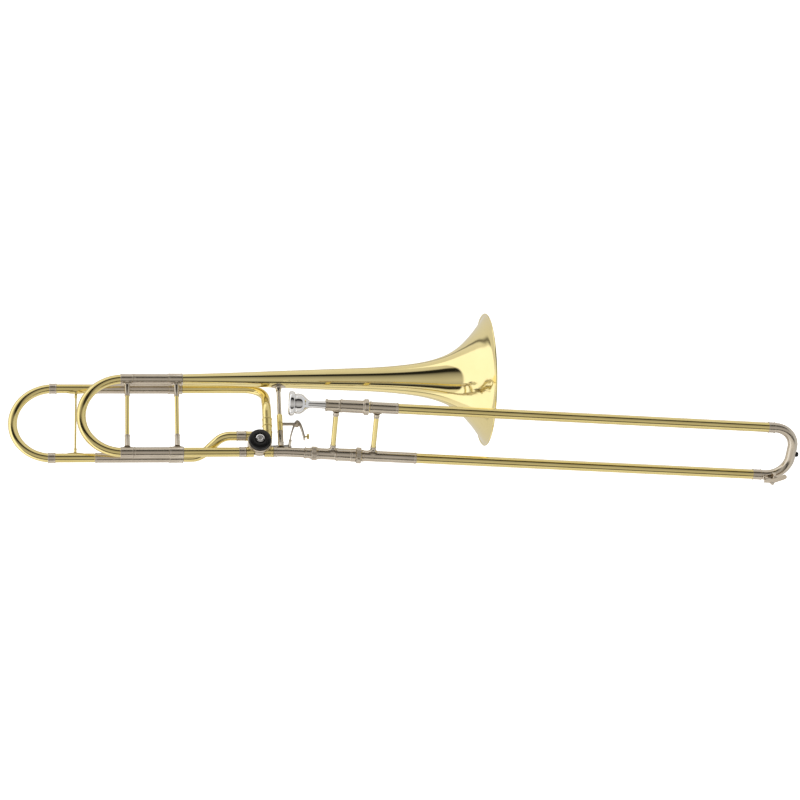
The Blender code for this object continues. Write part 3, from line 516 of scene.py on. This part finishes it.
def build_tuning_slide():
    body = "main_tuning_slide"
    left = CROOK_CENTRE_X - CROOK_R
    start = CROOK_CENTRE_X + CROOK_LEAD
    corners = [(start, 0, LEG_SPACING), (left, 0, LEG_SPACING), (left, 0, 0), (start, 0, 0)]
    bell_side.add("tuning_bow", [pipe(rounded_path(corners, CROOK_R, 32), LEG_R, LEG_R - 0.7)], "brass",
                  body, ["tuning_crook"])
    for tag, z in (("upper", LEG_SPACING), ("lower", 0.0)):
        end = SLEEVE_END_X - 12.0
        leg = [(start + GAP, 7.2), (end, 7.2), (end, 6.5), (start + GAP, 6.5)]
        bell_side.add("tuning_inner_" + tag, [ring(leg, 0, z)], "nickel_silver", body,
                      ["tuning_leg_" + tag])
        bell_side.add("tuning_collar_" + tag, [ring(beaded(-257.5, TUNING_FACE_X - GAP, 8.3, 8.0), 0, z)],
                      "nickel_silver", body, ["tuning_ferrule_" + tag])
    stay(bell_side, "tuning_stay", -247.0, 0.0, (0.0, 8.4), (LEG_SPACING, 8.4), 3.3, 4.1, body,
         "tuning_brace", (9.0, 6.5), 22.0)


def build_loop():
    body = "bell_section"
    for tag, z in (("upper", LOOP_HIGH_Z), ("lower", LOOP_LOW_Z)):
        profile = sleeve_profile(LOOP_FACE_X, SLEEVE_END_X, -182.0, LOOP_SLEEVE_R, 6.9)
        bell_side.add("loop_sleeve_shell_" + tag, [ring(profile, LOOP_Y, z)], "nickel_silver", body,
                      ["loop_sleeve_" + tag])
    start = SLEEVE_END_X + GAP
    corners = [(start, LOOP_Y, LOOP_HIGH_Z), (DROP_X, LOOP_Y, LOOP_HIGH_Z),
               (DROP_X, LOOP_PORT_Y, 76.0), (DROP_X, LOOP_PORT_Y, 33.6)]
    bell_side.add("loop_upper_pipe", [pipe(rounded_path(corners, 32.0, 24), LOOP_R, 6.5)], "brass", body,
                  ["loop_upper_tube"])
    corners = [(start, LOOP_Y, LOOP_LOW_Z), (-134.0, LOOP_Y, LOOP_LOW_Z),
               (-98.0, LOOP_PORT_Y, LOOP_PORT_Z), (-76.3, LOOP_PORT_Y, LOOP_PORT_Z)]
    bell_side.add("loop_lower_pipe", [pipe(rounded_path(corners, 30.0, 16), LOOP_R, 6.5)], "brass", body,
                  ["loop_lower_tube"])
    collar = ring(beaded(-76.0, -61.5, LOOP_R + 0.4, 6.4), LOOP_PORT_Y, LOOP_PORT_Z)
    bell_side.add("loop_inlet_collar", [collar], "nickel_silver", body, ["loop_inlet_ferrule"])
    profile = beaded(42.0, 56.0, LOOP_R + 0.4, LOOP_R + 0.1)
    collar = lathe(profile, (DROP_X, LOOP_PORT_Y, 0.0), (0, 0, 1), True)
    bell_side.add("loop_drop_collar", [collar], "brass", body, ["loop_drop_ferrule"])
    head = Vector((0.0, LOOP_Y, LOOP_HIGH_Z - LEG_SPACING))
    near, far = SLEEVE_R + 0.9, head.length - LOOP_SLEEVE_R - 0.8
    profile = [(near, 4.4), (near + 0.8, 3.4), (far - 0.8, 3.4), (far, 4.4), (far, 0.0), (near, 0.0)]
    block = lathe(profile, (-170.0, 0.0, LEG_SPACING), head, False)
    bell_side.add("loop_stay_block", [block], "brass", body, ["loop_stay"])


def build_loop_slide():
    body = "loop_tuning_slide"
    left = LOOP_CROOK_CENTRE_X - LOOP_CROOK_R
    start = LOOP_CROOK_CENTRE_X + CROOK_LEAD
    corners = [(start, LOOP_Y, LOOP_HIGH_Z), (left, LOOP_Y, LOOP_HIGH_Z), (left, LOOP_Y, LOOP_LOW_Z),
               (start, LOOP_Y, LOOP_LOW_Z)]
    bell_side.add("loop_bow", [pipe(rounded_path(corners, LOOP_CROOK_R, 32), LOOP_R, 6.5)], "brass", body,
                  ["loop_crook"])
    for tag, z in (("upper", LOOP_HIGH_Z), ("lower", LOOP_LOW_Z)):
        end = SLEEVE_END_X - 16.0
        outside = [(start + GAP, LOOP_R), (LOOP_FACE_X - 0.8, LOOP_R), (LOOP_FACE_X - GAP, LOOP_R - 0.4),
                   (LOOP_FACE_X - GAP, 6.0), (start + GAP, 6.0)]
        bell_side.add("loop_leg_outer_" + tag, [ring(outside, LOOP_Y, z)], "brass", body,
                      ["loop_leg_" + tag])
        inside = [(start + 4.0, 6.3), (end, 6.3), (end, 5.7), (start + 4.0, 5.7)]
        bell_side.add("loop_leg_inner_" + tag, [ring(inside, LOOP_Y, z)], "nickel_silver", body)
        collar = ring(beaded(-370.0, -358.5, LOOP_R + 0.9, LOOP_R + 0.5), LOOP_Y, z)
        bell_side.add("loop_collar_" + tag, [collar], "nickel_silver", body, ["loop_ferrule_" + tag])
    stay(bell_side, "loop_slide_stay", -328.0, LOOP_Y, (LOOP_LOW_Z, LOOP_R), (LOOP_HIGH_Z, LOOP_R),
         1.6, 2.2, body, "loop_brace", (14.0, 5.5), 9.0, "brass")


def build_neck():
    body = "bell_section"
    bend = Vector((cos(NECK_BEND), 0.0, -sin(NECK_BEND)))
    path = rounded_path([(-18.3, 0, 0), (0, 0, 0), tuple(bend * 30.0)], 160.0, 8)
    collar = beaded(-18.4, -12.5, LEG_R + 0.3, LEG_R, 0.4, 1.4)
    bell_side.add("neck_pipe", [pipe(path, LEG_R, LEG_R - 0.7), ring(collar, 0, 0)], "nickel_silver", body,
                  ["neckpipe"])
    profile = [(30.3, 8.0), (31.0, 8.9), (32.0, 9.1), (33.2, 8.9), (33.8, 8.4), (39.0, 8.4), (39.6, 9.1),
               (40.6, 9.3), (41.5, 9.1), (41.6, 7.4), (30.3, 7.4)]
    bell_side.add("receiver_collar", [lathe(profile, (0, 0, 0), bend, True)], "nickel_silver", body,
                  ["slide_receiver"])
    top = LEG_SPACING - 13.8
    profile = [(66.0, 0.0), (66.0, 3.3), (top - 3.0, 3.3), (top - 3.0, 0.0)]
    rod = lathe(profile, (BRACE_X, 0, 0), (0, 0, 1), False)
    profile = [(LEG_R + 0.6, 6.6), (9.4, 5.4), (11.0, 4.8), (15.0, 4.6), (15.6, 5.0), (17.0, 5.0),
               (17.6, 4.5), (34.6, 4.5), (35.4, 4.9), (36.6, 4.9), (37.0, 4.4), (37.0, 0.0),
               (LEG_R + 0.6, 0.0)]
    post = lathe(profile, (BRACE_X, 0, 0), (0, 0, 1), False)
    profile = [(0.8, 6.2), (1.6, 5.2), (2.6, 4.6), (8.0, 4.4), (8.8, 3.4), (8.8, 0.0), (0.8, 0.0)]
    head = lathe(profile, (BRACE_X, 0, top), (0, 0, -1), False)
    shapes = [post, head, saddle(BRACE_X, (0.0, 0.0), LEG_R, pi / 2.0, 11.0, 6.5, 1.6),
              saddle(BRACE_X, (0.0, LEG_SPACING), 13.9, -pi / 2.0, 12.0, 8.5, 1.6)]
    bell_side.add("neck_brace_post", shapes, "nickel_silver", body, ["neck_brace"])
    bell_side.add("neck_brace_rod", [rod], "nickel_silver", body)
    profile = [(37.3, 2.5), (37.3, 4.1), (37.8, 4.5), (50.6, 4.5), (51.2, 3.9), (51.8, 4.5), (65.2, 4.5),
               (66.4, 4.1), (66.8, 3.6), (66.8, 2.5)]
    sleeve = lathe(profile, (BRACE_X, 0, 0), (0, 0, 1), True)
    bell_side.add("bracket_sleeve", [sleeve], "brass", body, ["lever_bracket"])
    arm = extrude(round_bar((BRACE_X + 5.6, 50.0), (PIVOT_X, PIVOT_Z), 2.2), -1.4, 1.4)
    pin = lathe([(-7.4, 0.0), (-7.4, 2.2), (-6.6, 2.6), (-5.2, 2.6), (-5.2, 1.5), (5.2, 1.5), (5.2, 2.6),
                 (6.8, 2.6), (7.4, 2.0), (7.4, 0.0)], (PIVOT_X, 0, PIVOT_Z), (0, 1, 0), False)
    bell_side.add("bracket_arm_and_pin", [arm, pin], "nickel_silver", body)


def build_valve():
    body = "bell_section"
    centre = (VALVE_X, 0.0, VALVE_Z)
    outer = [(-15.0, 16.4), (-15.0, CASING_R - 0.6), (-14.4, CASING_R), (-11.6, CASING_R),
             (-11.0, CASING_R - 0.5), (-9.8, CASING_R - 0.5), (-9.2, CASING_R), (1.0, CASING_R),
             (3.0, CASING_R - 0.5), (5.0, CASING_R - 1.6), (7.6, CASING_R - 3.5), (10.0, CASING_R - 5.4),
             (10.0, 11.0), (7.0, 11.0), (7.0, 16.2), (-14.6, 16.4)]
    bell_side.add("valve_body", [lathe(outer, centre, (0, 1, 0), True, 96)], "nickel_silver", body,
                  ["valve_casing"])
    shapes = []
    bosses = (
        ((-61.2, 0.0, 0.0), (1, 0, 0), 12.0, LEG_R + 0.9),
        ((-18.6, 0.0, 0.0), (-1, 0, 0), 14.0, LEG_R + 0.9),
        ((-61.2, LOOP_PORT_Y, LOOP_PORT_Z), (1, 0, 0), 12.0, LOOP_R + 0.7),
        ((DROP_X, LOOP_PORT_Y, 33.3), (0, 0, -1), 12.0, LOOP_R + 0.7),
    )
    for start, direction, length, radius in bosses:
        profile = [(0.0, 6.4), (0.0, radius - 0.5), (0.5, radius), (2.6, radius), (3.0, radius - 0.5),
                   (length, radius - 0.5), (length, 6.4)]
        shapes.append(lathe(profile, start, direction, True))
    bell_side.add("valve_bosses", shapes, "brass", body)
    profile = [(-19.8, 6.3), (-20.8, 7.4), (-21.0, 9.0), (-21.0, 15.4), (-20.5, 16.9), (-19.2, 17.7),
               (-15.6, 17.7), (-15.3, 17.3), (-15.3, 6.3)]
    bell_side.add("valve_black_ring", [lathe(profile, centre, (0, 1, 0), True, 96)], "black_plastic", body,
                  ["valve_cap_ring"], 40.0)
    profile = [(8.2, 3.3), (8.2, 10.6), (11.6, 10.6), (12.2, 10.0), (12.2, 3.3)]
    bell_side.add("valve_back_cover", [lathe(profile, centre, (0, 1, 0), True, 96)], "nickel_silver", body,
                  ["valve_back_plate"])
    profile = [(-21.9, 0.0), (-21.9, 2.9), (-22.4, 3.3), (-23.7, 3.6), (-24.0, 4.2), (-23.9, 5.6),
               (-23.4, 6.6), (-21.3, 6.8), (-21.1, 6.2), (-20.7, 5.6), (-20.7, 0.0)]
    slot_bar = extrude([(VALVE_X - 2.6, VALVE_Z - 0.55), (VALVE_X + 2.6, VALVE_Z - 0.55),
                        (VALVE_X + 2.6, VALVE_Z + 0.55), (VALVE_X - 2.6, VALVE_Z + 0.55)], -22.6, -21.95)
    screw = lathe(profile, centre, (0, 1, 0), False, 64)
    bell_side.add("rotor_cap_screw", [screw], "silver", "valve_rotor", ["rotor_screw"])
    bell_side.add("rotor_screw_slot", [slot_bar], "steel", "valve_rotor")


def build_lever():
    body = "thumb_lever"
    spine = smooth_curve([(8.6, 16.5), (9.6, 25.0), (12.4, 35.5), (16.0, 46.0), (20.8, 53.6),
                          (25.4, 50.0), (28.2, 42.0), (30.4, 32.0), (32.0, 22.6)], 8)
    pts = np.array(spine)
    heading = np.gradient(pts, axis=0)
    heading /= np.linalg.norm(heading, axis=1)[:, None]
    side = np.stack([-heading[:, 1], heading[:, 0]], axis=1) * 1.1
    outline = [tuple(p) for p in pts + side] + [tuple(p) for p in reversed(pts - side)]
    rows = ((outline, -4.8, -2.0), (outline, 2.0, 4.8))
    shapes = [extrude(points, y0, y1) for points, y0, y1 in rows]
    low = [(x, z) for x, z in outline if z < 43.0 and x < 18.0]
    high = [(x, z) for x, z in outline if z < 43.0 and x > 18.0]
    shapes += [extrude(low, -2.1, 2.1), extrude(high, -2.1, 2.1)]
    for y0, y1 in ((-4.8, -2.0), (2.0, 4.8)):
        eye = [(y0, 1.9), (y0, 3.6), (y1, 3.6), (y1, 1.9)]
        shapes.append(lathe(eye, (PIVOT_X, 0, PIVOT_Z), (0, 1, 0), True))
    foot = [(-5.2, 0.0), (-5.2, 1.9), (-4.8, 2.3), (4.8, 2.3), (14.6, 2.0), (15.0, 1.0), (18.6, 1.0),
            (18.6, 0.0)]
    shapes.append(lathe(foot, (8.8, 0.0, 18.0), (0, 1, 0), False))
    bell_side.add("thumb_paddle", shapes, "nickel_silver", body, ["thumb_lever"], 40.0)
    profile = [(0.0, 0.0), (0.0, 1.3), (3.2, 1.3), (3.4, 3.6), (3.9, 4.2), (6.3, 4.2), (6.9, 3.4),
               (6.9, 0.0)]
    knob = lathe(profile, (32.6, 0.0, 27.5), (1, 0, 0), False, 96, (24, 0.22, 3.8, 6.4))
    bell_side.add("paddle_knob", [knob], "brass", body, ["lever_knob"])


# ---------------------------------------------------------------- slide section
def build_inner_slide():
    body = "slide_section"
    low = [(-31.0, 7.0), (-31.0, 7.9), (-22.0, 7.9), (-21.6, 8.8), (-20.2, 9.2), (-18.8, 8.8),
           (3.6, GRIP_R), (4.2, GRIP_R + 0.5), (5.0, GRIP_R + 0.2), (5.0, 7.0)]
    slide_side.add("grip_tube_lower", [ring(low, 0, 0)], "nickel_silver", body, ["grip_lower"])
    high = [(-18.0, 7.0), (-18.0, 8.8), (-17.6, 9.6), (-16.4, 9.8), (-15.0, 9.6), (-14.4, 8.8),
            (2.6, GRIP_R), (3.2, GRIP_R + 0.6), (4.4, GRIP_R + 0.6), (4.6, GRIP_R), (4.6, 7.0)]
    slide_side.add("grip_tube_upper", [ring(high, 0, SLIDE_SPACING)], "nickel_silver", body, ["grip_upper"])
    cups = (("lower", 5.3, 37.5, 10.5, 0.0), ("upper", 4.9, 50.0, 12.6, SLIDE_SPACING))
    for tag, x0, end, lip, z in cups:
        body_r = BARREL_R - 0.5
        profile = [
            (x0, 7.0), (x0, 9.4), (x0 + 0.5, 10.2), (x0 + 1.4, BARREL_R), (x0 + 3.2, BARREL_R),
            (x0 + 4.0, body_r), (end - 9.2, body_r), (end - 8.6, body_r + 0.4), (end - 7.6, body_r + 0.4),
            (end - 7.2, lip - 0.5), (end - 6.6, lip), (end - 1.0, lip), (end, lip - 0.7),
            (end, BARREL_BORE), (x0 + 14.0, BARREL_BORE), (x0 + 14.0, 7.0),
        ]
        slide_side.add("cork_cup_" + tag, [ring(profile, 0, z)], "nickel_silver", body,
                       ["cork_barrel_" + tag])
    for tag, start, end, z in (("lower", -30.0, 690.0, 0.0), ("upper", 8.0, 696.0, SLIDE_SPACING)):
        profile = [(start, INNER_R), (end - 112.0, INNER_R), (end - 106.0, STOCKING_R),
                   (end - 0.6, STOCKING_R), (end, STOCKING_R - 0.3), (end, INNER_BORE),
                   (start, INNER_BORE)]
        slide_side.add("inner_slide_tube_" + tag, [ring(profile, 0, z)], "nickel_silver", body,
                       ["inner_tube_" + tag])
    stay(slide_side, "hand_stay", 0.0, 0.0, (0.0, GRIP_R), (SLIDE_SPACING, GRIP_R), 4.0, 4.5, body,
         "hand_brace", (8.0, 9.0))


def build_nut_and_lock():
    profile = [(-33.1, 8.3), (-33.1, 9.8), (-32.6, 10.2), (-32.2, 10.6), (-26.0, 10.6), (-25.4, 10.2),
               (-24.4, 10.2), (-23.8, 9.6), (-22.6, 9.4), (-21.9, 9.0), (-21.9, 8.4)]
    nut = lathe(profile, (0, 0, 0), (1, 0, 0), True, 144, (36, 0.32, -32.3, -25.9))
    slide_side.add("knurled_nut", [nut], "nickel_silver", "lock_nut", ["lock_nut"])
    profile = [(37.8, 10.3), (37.8, 11.8), (38.4, 12.4), (45.2, 12.4), (45.8, 11.8), (45.8, 10.3)]
    band = lathe(profile, (0, 0, 0), (1, 0, 0), True, 144, (48, 0.35, 38.3, 45.3))
    profile = [(11.5, 0.0), (11.5, 2.2), (14.8, 2.2), (15.4, 1.6), (15.4, 0.0)]
    tab = lathe(profile, (41.8, 0, 0), (0, -1, 0), False)
    slide_side.add("lock_band", [band, tab], "nickel_silver", "slide_lock_ring", ["slide_lock_ring"])


def build_outer_slide():
    body = "outer_slide"
    rows = (
        ("lower", LOW_TUBE_X0 - 7.0, LOW_TUBE_X1, 46.6, 134.5, 0.0),
        ("upper", HIGH_TUBE_X0, HIGH_TUBE_X1, 51.5, 97.0, SLIDE_SPACING),
    )
    for tag, start, end, sleeve0, sleeve1, z in rows:
        profile = [(start, OUTER_R), (end, OUTER_R), (end, 7.4), (start, 7.4)]
        slide_side.add("outer_slide_tube_" + tag, [ring(profile, 0, z)], "brass", body,
                       ["outer_tube_" + tag])
        profile = [
            (sleeve0, 8.0), (sleeve0, 9.0), (sleeve0 + 0.5, 9.5), (sleeve0 + 3.4, 9.5),
            (sleeve0 + 4.0, 8.7), (sleeve1 - 3.4, 8.7), (sleeve1 - 3.0, 9.1), (sleeve1 - 1.0, 9.1),
            (sleeve1 - 0.2, 8.5), (sleeve1, 8.0),
        ]
        slide_side.add("outer_sleeve_" + tag, [ring(profile, 0, z)], "nickel_silver", body,
                       ["slide_sleeve_" + tag])
    stay(slide_side, "slide_stay", 64.0, 0.0, (0.0, 8.8), (SLIDE_SPACING, 8.8), 4.0, 4.5, body,
         "slide_brace", (8.0, 9.0))
    corners = [(LOW_TUBE_X1 + GAP, 0, 0), (BOW_CENTRE_X + BOW_R, 0, 0),
               (BOW_CENTRE_X + BOW_R, 0, SLIDE_SPACING), (HIGH_TUBE_X1 + GAP, 0, SLIDE_SPACING)]
    bow = pipe(rounded_path(corners, BOW_R, 24), OUTER_R, 7.2)
    slide_side.add("bow_pipe", [bow], "nickel_silver", body, ["slide_bow"])
    for tag, start, end, z in (("lower", 684.0, 698.8, 0.0), ("upper", 693.8, 705.3, SLIDE_SPACING)):
        slide_side.add("bow_collar_" + tag, [ring(beaded(start, end, OUTER_R + 0.5, OUTER_R, 0.5), 0, z)],
                       "nickel_silver", body, ["bow_ferrule_" + tag])
    face = BOW_CENTRE_X + BOW_R + OUTER_R
    profile = [(0.2, 0.0), (0.2, 4.2), (1.4, 4.3), (2.6, 4.0), (3.6, 3.3), (4.3, 2.2), (4.3, 0.0)]
    slide_side.add("bow_bumper", [lathe(profile, (face, 0, 41.0), (1, 0, 0), False)], "rubber", body,
                   ["slide_bumper"])


def build_water_key():
    hinge = (716.0, -14.5)
    shapes = []
    for low, high in ((-9.0, -6.6), (7.6, 10.0)):
        cheek = [(712.8, -8.6), (719.2, -8.6), (718.6, -14.0), (717.4, -16.4), (714.6, -16.4),
                 (713.4, -14.0)]
        verts, faces = extrude(cheek, low, high)
        shapes.append(([(x, z, y) for x, y, z in verts], faces))
    nipple = [(OUTER_R + 0.3, 5.2), (9.4, 4.6), (9.9, 3.8), (11.4, 3.6), (11.6, 3.2), (11.6, 1.6),
              (9.0, 1.6), (OUTER_R + 0.3, 2.0)]
    shapes.append(lathe(nipple, (705.0, 0.0, -0.5), (0, -1, 0), True))
    pin = [(-8.9, 0.0), (-8.9, 1.2), (9.9, 1.2), (9.9, 0.0)]
    shapes.append(lathe(pin, (hinge[0], hinge[1], 0.0), (0, 0, 1), False, 24))
    strap = [(703.0, -9.2), (719.4, -9.2), (719.4, 10.2), (703.0, 4.0)]
    shapes.append(extrude(strap, -9.7, -8.6))
    slide_side.add("key_saddle", shapes, "nickel_silver", "outer_slide", ["water_key_saddle"], 40.0)
    profile = [(-6.2, 1.6), (-6.2, 2.6), (7.2, 2.6), (7.2, 1.6)]
    barrel = lathe(profile, (hinge[0], hinge[1], 0.0), (0, 0, 1), True)
    cork_arm = extrude(round_bar((705.0, -0.5), (718.0, 0.5), 3.2), -18.0, -16.3)
    touch = extrude(round_bar((717.0, 0.5), (732.0, 7.5), 4.1), -18.2, -16.5)
    profile = [(13.4, 4.2), (13.4, 4.4), (15.8, 4.4), (16.4, 3.4), (16.6, 0.0), (15.8, 0.0), (15.8, 4.1)]
    seat = lathe(profile, (705.0, 0.0, -0.5), (0, -1, 0), False)
    slide_side.add("key_lever", [barrel, cork_arm, touch, seat], "nickel_silver", "water_key",
                   ["water_key_lever"], 40.0)
    coil = []
    for i in range(61):
        angle = 2.0 * pi * 5.0 * i / 60.0
        x, z = hinge[0] + 3.3 * cos(angle), hinge[1] + 3.3 * sin(angle)
        coil.append(Vector((x, z, -5.4 + 6.0 * i / 60.0)))
    slide_side.add("key_spring", [pipe(coil, 0.35, 0.0, 8)], "steel", "water_key")
    profile = [(11.9, 0.0), (11.9, 3.2), (12.3, 3.5), (15.6, 3.5), (15.9, 0.0)]
    pad = lathe(profile, (705.0, 0.0, -0.5), (0, -1, 0), False)
    slide_side.add("key_pad", [pad], "cork", "water_key", ["water_key_cork"])


def build_mouthpiece():
    start = -75.4
    outer = smooth_curve([(0.1, 15.9), (0.3, 17.2), (1.4, 18.6), (3.4, 19.35), (6.6, 19.1), (8.6, 17.8),
                          (9.4, 15.6)], 6)
    outer += smooth_curve([(10.4, 14.9), (11.6, 15.7), (14.5, 16.0), (19.0, 15.4), (23.0, 13.2),
                           (26.5, 10.0), (29.5, 7.6), (32.4, 6.1), (35.0, 5.5), (38.0, 5.3), (57.0, 5.9),
                           (84.0, 6.0)], 6)
    cup = smooth_curve([(84.0, 5.2), (60.0, 3.9), (33.0, 3.5), (27.5, 3.6), (23.0, 5.4), (16.0, 9.0),
                        (9.0, 11.4), (3.0, 12.6), (0.9, 13.9), (0.1, 15.4)], 6)
    slide_side.add("mouthpiece_shell", [lathe(outer + cup, (start, 0, SLIDE_SPACING), (1, 0, 0), True, 96)],
                   "silver", "mouthpiece", ["mouthpiece"], 45.0)


# ---------------------------------------------------------------- carried-over nodes
def dress_frame():
    for name in ("rotor", "rotor_arm", "link_rod"):
        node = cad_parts[name]
        node.data.materials.clear()
        node.data.materials.append(MATERIALS["steel"])


# ---------------------------------------------------------------- studio
def level_frame():
    """Frame at the neck bend in which the bell axis is level, x along it."""
    return BELL_FRAME @ Matrix.Rotation(BELL_TILT, 4, "X")


def build_camera():
    right = Vector((cos(CAMERA_YAW), -sin(CAMERA_YAW), 0.0))
    ahead = Vector((sin(CAMERA_YAW), cos(CAMERA_YAW), 0.0))
    aim = Vector((CAMERA_AIM[0], 0.0, CAMERA_AIM[1])) * MM
    place = Matrix.Identity(4)
    for row in range(3):
        place[row][0] = right[row]
        place[row][1] = 1.0 if row == 2 else 0.0
        place[row][2] = -ahead[row]
        place[row][3] = (aim - ahead * (CAMERA_DISTANCE * MM))[row]
    camera = bpy.data.objects.new("camera", bpy.data.cameras.new("camera"))
    camera.data.lens = CAMERA_LENS
    camera.data.sensor_width = CAMERA_SENSOR
    camera.data.clip_end = CAMERA_REACH
    bpy.context.scene.collection.objects.link(camera)
    camera.matrix_world = level_frame() @ place
    bpy.context.scene.camera = camera


def math_node(tree, operation, first, second=None):
    node = tree.nodes.new("ShaderNodeMath")
    node.operation = operation
    for index, value in enumerate((first, second)):
        if value is None:
            continue
        if isinstance(value, (int, float)):
            node.inputs[index].default_value = value
        else:
            tree.links.new(value, node.inputs[index])
    return node.outputs[0]


def build_world():
    """White tent with a grey opening in front, a duller back, and dark seams between them."""
    world = bpy.data.worlds.new("studio")
    bpy.context.scene.world = world
    world.use_nodes = True
    tree = world.node_tree
    coords = tree.nodes.new("ShaderNodeTexCoord")
    split = tree.nodes.new("ShaderNodeSeparateXYZ")
    tree.links.new(coords.outputs["Generated"], split.inputs[0])
    x, y, z = split.outputs
    height = math_node(tree, "ARCTAN2", z, math_node(tree, "MULTIPLY", y, -1.0))
    share = math_node(tree, "ADD", math_node(tree, "DIVIDE", height, 2.0 * pi), 0.5)
    ramp = tree.nodes.new("ShaderNodeValToRGB")
    tree.links.new(share, ramp.inputs["Fac"])
    elements = ramp.color_ramp.elements
    while len(elements) < len(TENT):
        elements.new(0.5)
    for element, (degrees, level) in zip(elements, TENT):
        element.position = degrees / 360.0 + 0.5
        element.color = (level, level * TENT_WARMTH[0], level * TENT_WARMTH[1], 1.0)
    fade = tree.nodes.new("ShaderNodeMapRange")
    fade.inputs["From Min"].default_value = TENT_EDGE[0]
    fade.inputs["From Max"].default_value = TENT_EDGE[1]
    sideways = math_node(tree, "ABSOLUTE", math_node(tree, "DIVIDE", x, y))
    tree.links.new(sideways, fade.inputs["Value"])
    mix = tree.nodes.new("ShaderNodeMix")
    mix.data_type = "RGBA"
    factor, first, second = mix.inputs["Factor"], mix.inputs[6], mix.inputs[7]
    tree.links.new(fade.outputs["Result"], factor)
    tree.links.new(ramp.outputs["Color"], first)
    sides = tree.nodes.new("ShaderNodeMapRange")
    sides.inputs["From Min"].default_value = -TENT_SIDE_BLEND
    sides.inputs["From Max"].default_value = TENT_SIDE_BLEND
    sides.inputs["To Min"].default_value = TENT_SIDES[0]
    sides.inputs["To Max"].default_value = TENT_SIDES[1]
    tree.links.new(x, sides.inputs["Value"])
    tree.links.new(sides.outputs["Result"], second)
    background = tree.nodes["Background"]
    tree.links.new(mix.outputs[2], background.inputs["Color"])
    background.inputs["Strength"].default_value = TENT_POWER
    bpy.context.scene.view_settings.view_transform = "Standard"


def build_floor():
    """Pale floor and dome that only the camera sees; reflections come from the tent behind them."""
    n = Nodes("pale_floor")
    haze = n.noise(n.scaled((1.0, 1.0, 1.0)), 3.0, 2.0)
    n.link(n.ramp(haze, ((0.3, grey(0.97)), (0.7, grey(0.99)))), n.shader.inputs["Base Color"])
    n.constants(Roughness=0.95, Emission_Color=grey(1.0), Emission_Strength=BACKDROP_GLOW)
    profile = [(z / MM, r / MM) for r, z in smooth_curve(BACKDROP, 5)]
    verts, faces = lathe(profile, (0, 0, 0), (0, 0, 1), False, 96)
    mesh = bpy.data.meshes.new("floor")
    mesh.from_pydata([tuple(Vector(v) * MM) for v in verts], [], faces)
    mesh.materials.append(n.material)
    floor = bpy.data.objects.new("floor", mesh)
    bpy.context.scene.collection.objects.link(floor)
    floor.visible_glossy = False
    floor.visible_diffuse = False
    floor.visible_shadow = False


def soft_light(name, place, target, size, power):
    light = bpy.data.objects.new(name, bpy.data.lights.new(name, "AREA"))
    light.data.shape = "RECTANGLE"
    light.data.size, light.data.size_y = size
    light.data.energy = power
    light.visible_glossy = False
    bpy.context.scene.collection.objects.link(light)
    light.location = place
    heading = Vector(target) - Vector(place)
    light.rotation_euler = heading.to_track_quat("-Z", "Y").to_euler()


def build_lights():
    soft_light("top_panel", (0.0, -0.6, 2.6), (0.1, 0.0, 0.0), (3.4, 1.6), 60.0)
    soft_light("left_panel", (-2.6, -1.4, 1.2), (0.2, 0.0, 0.1), (1.6, 2.2), 35.0)


def main():
    build_bell()
    build_main_loop()
    build_tuning_slide()
    build_loop()
    build_loop_slide()
    build_neck()
    build_valve()
    build_lever()
    build_inner_slide()
    build_nut_and_lock()
    build_outer_slide()
    build_water_key()
    build_mouthpiece()
    dress_frame()
    build_camera()
    build_world()
    build_floor()
    build_lights()


main()
